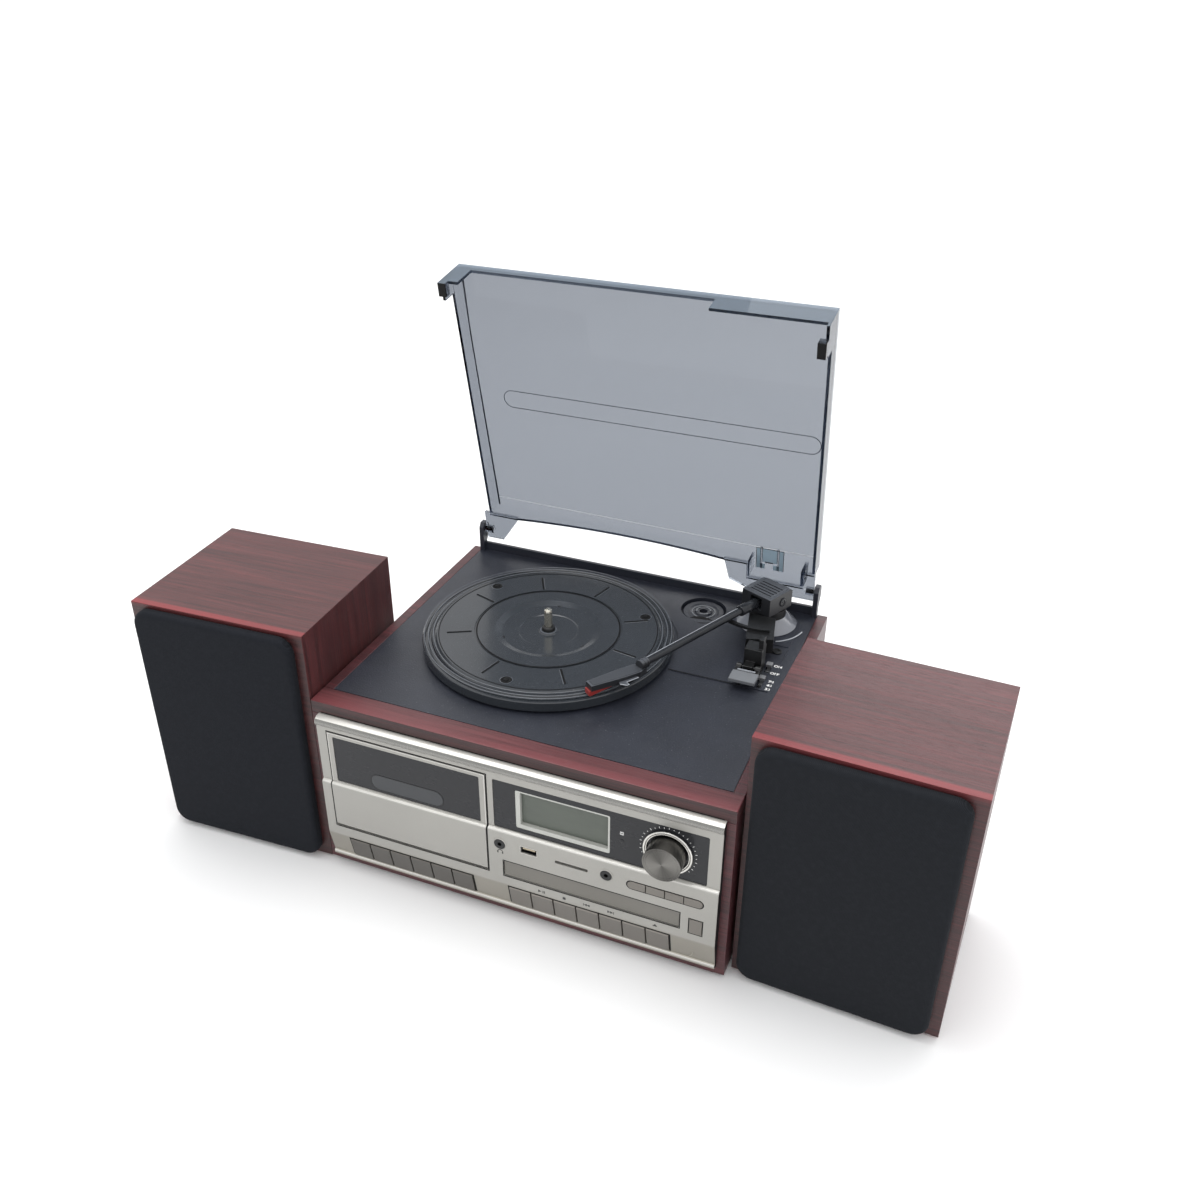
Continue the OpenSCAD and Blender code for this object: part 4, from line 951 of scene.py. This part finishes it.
door_x0, door_x1, door_z0, door_z1 = -161.5, -19.5, 50.3, 145.9
ledge = [(-8.5, 93.5), (-7.8, 95.0), (-6.0, 96.0)]
upright_line = [(-8.5, door_z0 - 0.8)] + ledge + [(-6.0, door_z1 + 0.9)]

b = Build(unit())
strip(b, door_x0 - 0.7, door_x0, upright_line)
strip(b, door_x1, door_x1 + 1.2, upright_line)
strip(b, door_x0, door_x1, [(-6.0, door_z1), (-6.0, door_z1 + 0.9)])
strip(b, door_x0, door_x1, [(-8.5, door_z0 - 0.8), (-8.5, door_z0)])
frame_strips(b, -5.5, 141.7, 49.6, 65.4, 0.75)
frame_strips(b, 149.3, 159.9, 47.7, 62.3, 0.6)
for x0, x1 in (KEY_X0, KEY_X0 + 6 * KEY_PITCH), (BUTTON_X0, BUTTON_X0 + 7 * BUTTON_PITCH):
    strip(b, x0 - 0.9, x1 + 0.9, [(row_y(38.4), 38.4), (row_y(39.0), 39.0), (-8.4, 39.6)])
    strip(b, x0 - 0.9, x0, [(row_y(17.6), 17.6), (row_y(38.4), 38.4)])
    strip(b, x1, x1 + 0.9, [(row_y(17.6), 17.6), (row_y(38.4), 38.4)])
b.piece("front_gap_shade", "line", "cabinet", 0)

# Painted shade: a dark line around the row of mode buttons
bar_piece("mode_row_line", "line", "cabinet", front_frame(129.2, 79),
          [level(stadium(-30.6, 30.6, 0, 4.1), 0.0)], 0.35, 6, 0.4, True)

# Dark shade between the silver front and the wood above and beside it
b = Build(unit())
strip(b, -168.4, 168.4, [(0.0, 158.0), (0.0, 159.0)], 0.05)
outline = [(0, 12), (-2.0, 12), (-4.2, 13.6), (-4.2, 16.0), (-3.2, 17.2), (-7.7, 39), (-7.9, 40.5),
           (-7.9, 93.5), (-7.2, 95), (-5.4, 96), (-5.4, 150), (-6.6, 151), (-7.2, 152.4), (-7.0, 154.4),
           (-5.8, 156.2), (-3.6, 157.3), (0, 157.6)]
for x in (-170.58, 170.48):
    b.loft([[(x, y, z) for y, z in outline], [(x + 0.1, y, z) for y, z in outline]])
b.piece("front_end_shades", "line", "cabinet", 0)

# Painted highlights along the ledge, the top edge, the lower edge of the moulding, and the lip
b = Build(unit())
for x0, x1 in ((-170.3, door_x0 - 0.7), (door_x1 + 1.2, 170.3)):
    strip(b, x0, x1, [(-8.2, 94.2), (-7.8, 95.0), (-6.0, 96.0)], 0.05)
for line in ([(-6.4, 156.4), (-4.0, 157.7), (-1.2, 157.94)], [(-6.5, 150.4), (-7.2, 151.0), (-7.6, 151.8)],
             [(-5.0, 14.8), (-5.0, 16.2), (-4.5, 16.6)]):
    strip(b, -170.3, 170.3, line, 0.05)
b.piece("front_bright_edges", "bright", "cabinet", 30)

# Painted shade on the middle of the moulding
b = Build(unit())
strip(b, -170.3, 170.3, [(-7.8, 152.4), (-7.6, 154.4), (-6.5, 156.2)], 0.04)
b.piece("front_moulding_shade", "moulding", "cabinet", 30)

# Painted highlights along the cassette door's ledge, top and sides
b = Build(unit())
strip(b, -161.1, -19.9, [(-8.4, 94.0), (-8.0, 94.8), (-6.4, 95.7)], 0.05)
strip(b, -161.1, -19.9, [(-6.3, 144.4), (-6.3, 145.2)], 0.05)
strip(b, -161.1, -160.3, [(-6.3, 96.2), (-6.3, 144.4)], 0.05)
strip(b, -20.9, -19.9, [(-6.3, 96.2), (-6.3, 144.4)], 0.05)
b.piece("cassette_door_bright_edges", "bright", "cassette_door", 30)


# Silver front: printed marks, knob scale, windows and sockets


def shape_print(name, shapes, x, z, y, look="ink", thick=0.12):
    """Small flat marks on the silver front, given as outlines in mm."""
    b = Build(front_frame(x, z, y))
    for outline in shapes:
        b.slab(outline, -0.05, thick)
    b.piece(name, look, "cabinet", 0)


def triangle(x, size, way=1):
    return [(x - way * size / 2, -size / 2), (x + way * size / 2, 0), (x - way * size / 2, size / 2)][::way]


def bar(x, w, h, y=0):
    return [(x - w / 2, y - h / 2), (x + w / 2, y - h / 2), (x + w / 2, y + h / 2), (x - w / 2, y + h / 2)]


button_x = [BUTTON_X0 + BUTTON_PITCH * (i + 0.5) for i in range(7)]
for name, shapes, x in (
    ("play_pause", [triangle(-1.6, 2.6), bar(1.2, 0.6, 2.6), bar(2.4, 0.6, 2.6)], button_x[1]),
    ("stop", [bar(0, 2.4, 2.4)], button_x[2]),
    ("skip_back", [triangle(-1.3, 2.4, -1), triangle(1.1, 2.4, -1), bar(-3.0, 0.5, 2.4)], button_x[3]),
    ("skip_on", [triangle(-1.1, 2.4), triangle(1.3, 2.4), bar(3.0, 0.5, 2.4)], button_x[4]),
    ("open", [[(-1.7, -0.2), (1.7, -0.2), (0, 1.9)], bar(0, 3.4, 0.55)], button_x[6] - 2),
):
    shape_print("mark_" + name, shapes, x, FRONT_Z + 32.0, LOWER_Y)

# Headphone sign under the left socket: an arc with two ear cushions
b = Build(front_frame(SOCKETS["phones"][0], FRONT_Z + 61.8))
b.tube(level([polar(2.1, a) for a in range(0, 181, 15)], 0.05), 0.28, 6)
for x in (-2.1, 2.1):
    b.box((x - 0.5, -1.4, -0.05), (x + 0.5, 0.1, 0.2))
b.piece("mark_headphones", "ink", "cabinet", 40)

# Scale around the knob, its bright rings, and the groove near its face
ticks = []
for k in range(27):
    a = math.radians(-40 + 260 * k / 26)
    c, s = math.cos(a), math.sin(a)
    inner, outer = 21.2, 21.2 + (1.5 if k % 2 else 0.9)
    ticks.append([(c * r + s * w, s * r - c * w)
                  for r, w in ((inner, 0.18), (outer, 0.18), (outer, -0.18), (inner, -0.18))])
shape_print("knob_scale", ticks, *KNOB, UPPER_Y + 0.6, "print", 0.1)

b = Build(front_frame(*KNOB, UPPER_Y - 1.2))
b.turn(oval(18.5, 0.1, 1.05, 0.9, 12), 80, closed=True)
b.turn(oval(16.9, 0.0, 0.55, 0.6, 8), 80, closed=True)
b.piece("knob_ring", "chrome", "cabinet", 60)
turned_piece("knob_groove", "knob", "volume_knob", front_frame(*KNOB, UPPER_Y - 15.2),
             [(13.9, -0.8), (14.9, -0.8), (14.95, -0.4), (14.9, 0.0), (13.9, 0.0)], 80, 50, True)

# Clock frame and remote sensor beside the display
frames = []
for w in (2.6, 1.5):
    frames += [bar(-w / 2, 0.3, w), bar(w / 2, 0.3, w), bar(0, w, 0.3, -w / 2), bar(0, w, 0.3, w / 2)]
shape_print("mark_clock", frames, 93, 124.5, UPPER_Y + 0.6, "print", 0.1)
turned_piece("remote_sensor", "window", "cabinet", front_frame(93, 117, UPPER_Y + 0.6),
             [(1.9, -0.1), (1.9, 0.15), (1.5, 0.4), (0.02, 0.5)], 28)

# Display glass in the sunk bezel
b = Build(front_frame(FRONT_HALF - 125.0, FRONT_Z + 108.5, UPPER_Y + 4.6))
b.slab(rounded(72.4, 31.2, 0.9, 6), 0.02, 0.5, 0.1)
b.piece("display_glass", "lcd", "cabinet", 30)

# Clear slot of the tape window, with its dark rim
tape_frame, tape_half = front_frame(-91, 107, -5.7), 33
bar_piece("tape_slot_line", "black", "cassette_door", tape_frame,
          [level(stadium(-tape_half, tape_half, 0, 7.6), 0.05)], 0.22, closed=True)
b = Build(tape_frame)
b.slab(stadium(-tape_half + 0.4, tape_half - 0.4, 0, 7.2), -0.05, 0.12)
b.piece("tape_slot", "tape_slot", "cassette_door", 0)

# Bright collars of the two round sockets
for name, place in SOCKETS.items():
    turned_piece("socket_collar_" + name, "silver", "cabinet", front_frame(*place),
                 [(4.7, -0.1), (5.6, -0.1), (5.5, 0.35), (4.9, 0.55), (4.7, 0.3)], 40, 50, True)

# Contacts, rim and tongue of the universal socket
box_piece("universal_socket_contacts", "gold", "cabinet", front_frame(*USB, LOWER_Y + 1.4),
          [((-4.1 + 2.4 * k, 0.0, -0.3), (-3.1 + 2.4 * k, 0.3, 0.4)) for k in range(4)], 0.1)
box_piece("universal_socket_rim", "bright", "cabinet", front_frame(*USB), [
    ((-7.3, 3.2, -0.2), (7.3, 3.75, 0.35)), ((-7.3, -3.75, -0.2), (7.3, -3.2, 0.35)),
    ((-7.4, -3.2, -0.2), (-6.9, 3.2, 0.35)), ((6.9, -3.2, -0.2), (7.4, 3.2, 0.35)),
], 0.0)
box_piece("universal_socket_tongue", "tongue", "cabinet", front_frame(*USB),
          [((-5.4, 0.3, -1.4), (5.4, 1.8, -0.7))], 0.1)

# Thumb mark at the right end of the button row
b = Build(front_frame(148, FRONT_Z + 12, -5.2) @ turned(-11.5, "X"))
outer = [polar(4.4, a) for a in range(-60, 61, 10)]
inner = [polar(3.8, a, (1.2, 0)) for a in range(60, -61, -10)]
b.slab(outer + inner, -0.3, 0.45, 0.1)
b.piece("thumb_mark", "silver", "cabinet", 40)


# Rear: coloured collars of the outputs, clip levers and screws

for z, look in ((40, "red"), (56, "print")):
    turned_piece("output_collar_%d" % z, look, "cabinet", unit(120, REAR_Y, z) @ turned(-90, "X"),
                 [(4.3, 0.05), (6.6, 0.05), (6.6, 1.4), (6.1, 1.9), (4.3, 1.9)], 40, closed=True)
for x, look in ((61, "red"), (81, "grey")):
    box_piece("clip_lever_%d" % x, look, "cabinet", unit(0, REAR_Y + 6, 0),
              [((x - 4, 0, 44.6), (x + 4, 2.6, 50.4))], 0.5)
for i, (x, z) in enumerate([(-160, 12), (160, 12), (-160, 158), (160, 158), (0, 12), (0, 158)]):
    turned_piece("rear_screw_%d" % i, "motor", "cabinet", unit(x, REAR_Y, z) @ turned(-90, "X"),
                 [(3.4, -0.1), (3.4, 0.5), (2.6, 1.3), (1.2, 1.6), (0.02, 1.6)], 24)


# Floor, light and camera


def stage():
    data = bpy.data.meshes.new("floor")
    made = bmesh.new()
    size = 60.0
    corners = [made.verts.new((x, y, -0.0002)) for x, y in
               ((-size, -size), (size, -size), (size, size), (-size, size))]
    made.faces.new(corners)
    made.to_mesh(data)
    made.free()
    obj = placed("floor", data)
    s = Shader("floor_paint", Roughness=0.9, Specular_IOR_Level=0.1)
    s.feed("Base Color", s.grey_ramp(s.noise(3, 2, 0.5), (0.3, 0.93), (0.7, 0.95)))
    data.materials.append(s.material)


def lamp(name, place, target, size, power, colour=(1, 1, 1)):
    data = bpy.data.lights.new(name, "AREA")
    data.shape = "RECTANGLE"
    data.size, data.size_y = size
    data.energy = power
    data.color = colour
    obj = placed(name, data)
    obj.location = place
    obj.rotation_mode = "QUATERNION"
    obj.rotation_quaternion = (Vector(target) - Vector(place)).to_track_quat("-Z", "Y")


def lights():
    world = bpy.data.worlds.new("studio")
    bpy.context.scene.world = world
    world.use_nodes = True
    tree = world.node_tree
    background = tree.nodes["Background"]
    background.inputs["Strength"].default_value = 1.0
    coords = tree.nodes.new("ShaderNodeTexCoord")
    split = tree.nodes.new("ShaderNodeSeparateXYZ")
    ramp = tree.nodes.new("ShaderNodeValToRGB")
    tree.links.new(coords.outputs["Generated"], split.inputs[0])
    tree.links.new(split.outputs[2], ramp.inputs[0])
    tree.links.new(ramp.outputs[0], background.inputs["Color"])
    low, high = ramp.color_ramp.elements
    low.position, high.position = 0.0, 1.0
    low.color, high.color = (0.62, 0.63, 0.65, 1), (1.4, 1.4, 1.4, 1)
    lamp("key", (-0.4, 0.1, 2.2), (0, 0, 0.1), (1.2, 1.2), 14)
    lamp("back", (0.6, 1.9, 1.6), (0, 0, 0.2), (2.2, 1.2), 12)
    lamp("side", (1.9, -1.0, 1.3), (0, 0, 0.1), (1.2, 1.2), 3)


def camera():
    """The photo's camera, fitted to the cabinet's edges; its focal length is 1166.77 of 1200 pixels."""
    azimuth, elevation, roll = (math.radians(v) for v in (-21.87, 30.49, 0.41))
    forward = Vector((math.sin(azimuth) * math.cos(elevation), math.cos(azimuth) * math.cos(elevation),
                      -math.sin(elevation)))
    right = forward.cross(Vector((0, 0, 1))).normalized()
    up = right.cross(forward)
    side = right * math.cos(roll) + up * math.sin(roll)
    top = up * math.cos(roll) - right * math.sin(roll)
    data = bpy.data.cameras.new("camera")
    data.sensor_width = 36
    data.lens = 36 * 1166.77 / 1200
    obj = placed("camera", data)
    matrix = Matrix((side, top, -forward)).transposed().to_4x4()
    matrix.translation = Vector((0.3218, -0.7630, 0.7127))
    obj.matrix_world = matrix
    bpy.context.scene.camera = obj


stage()
lights()
camera()
bpy.context.scene.view_settings.view_transform = "Standard"
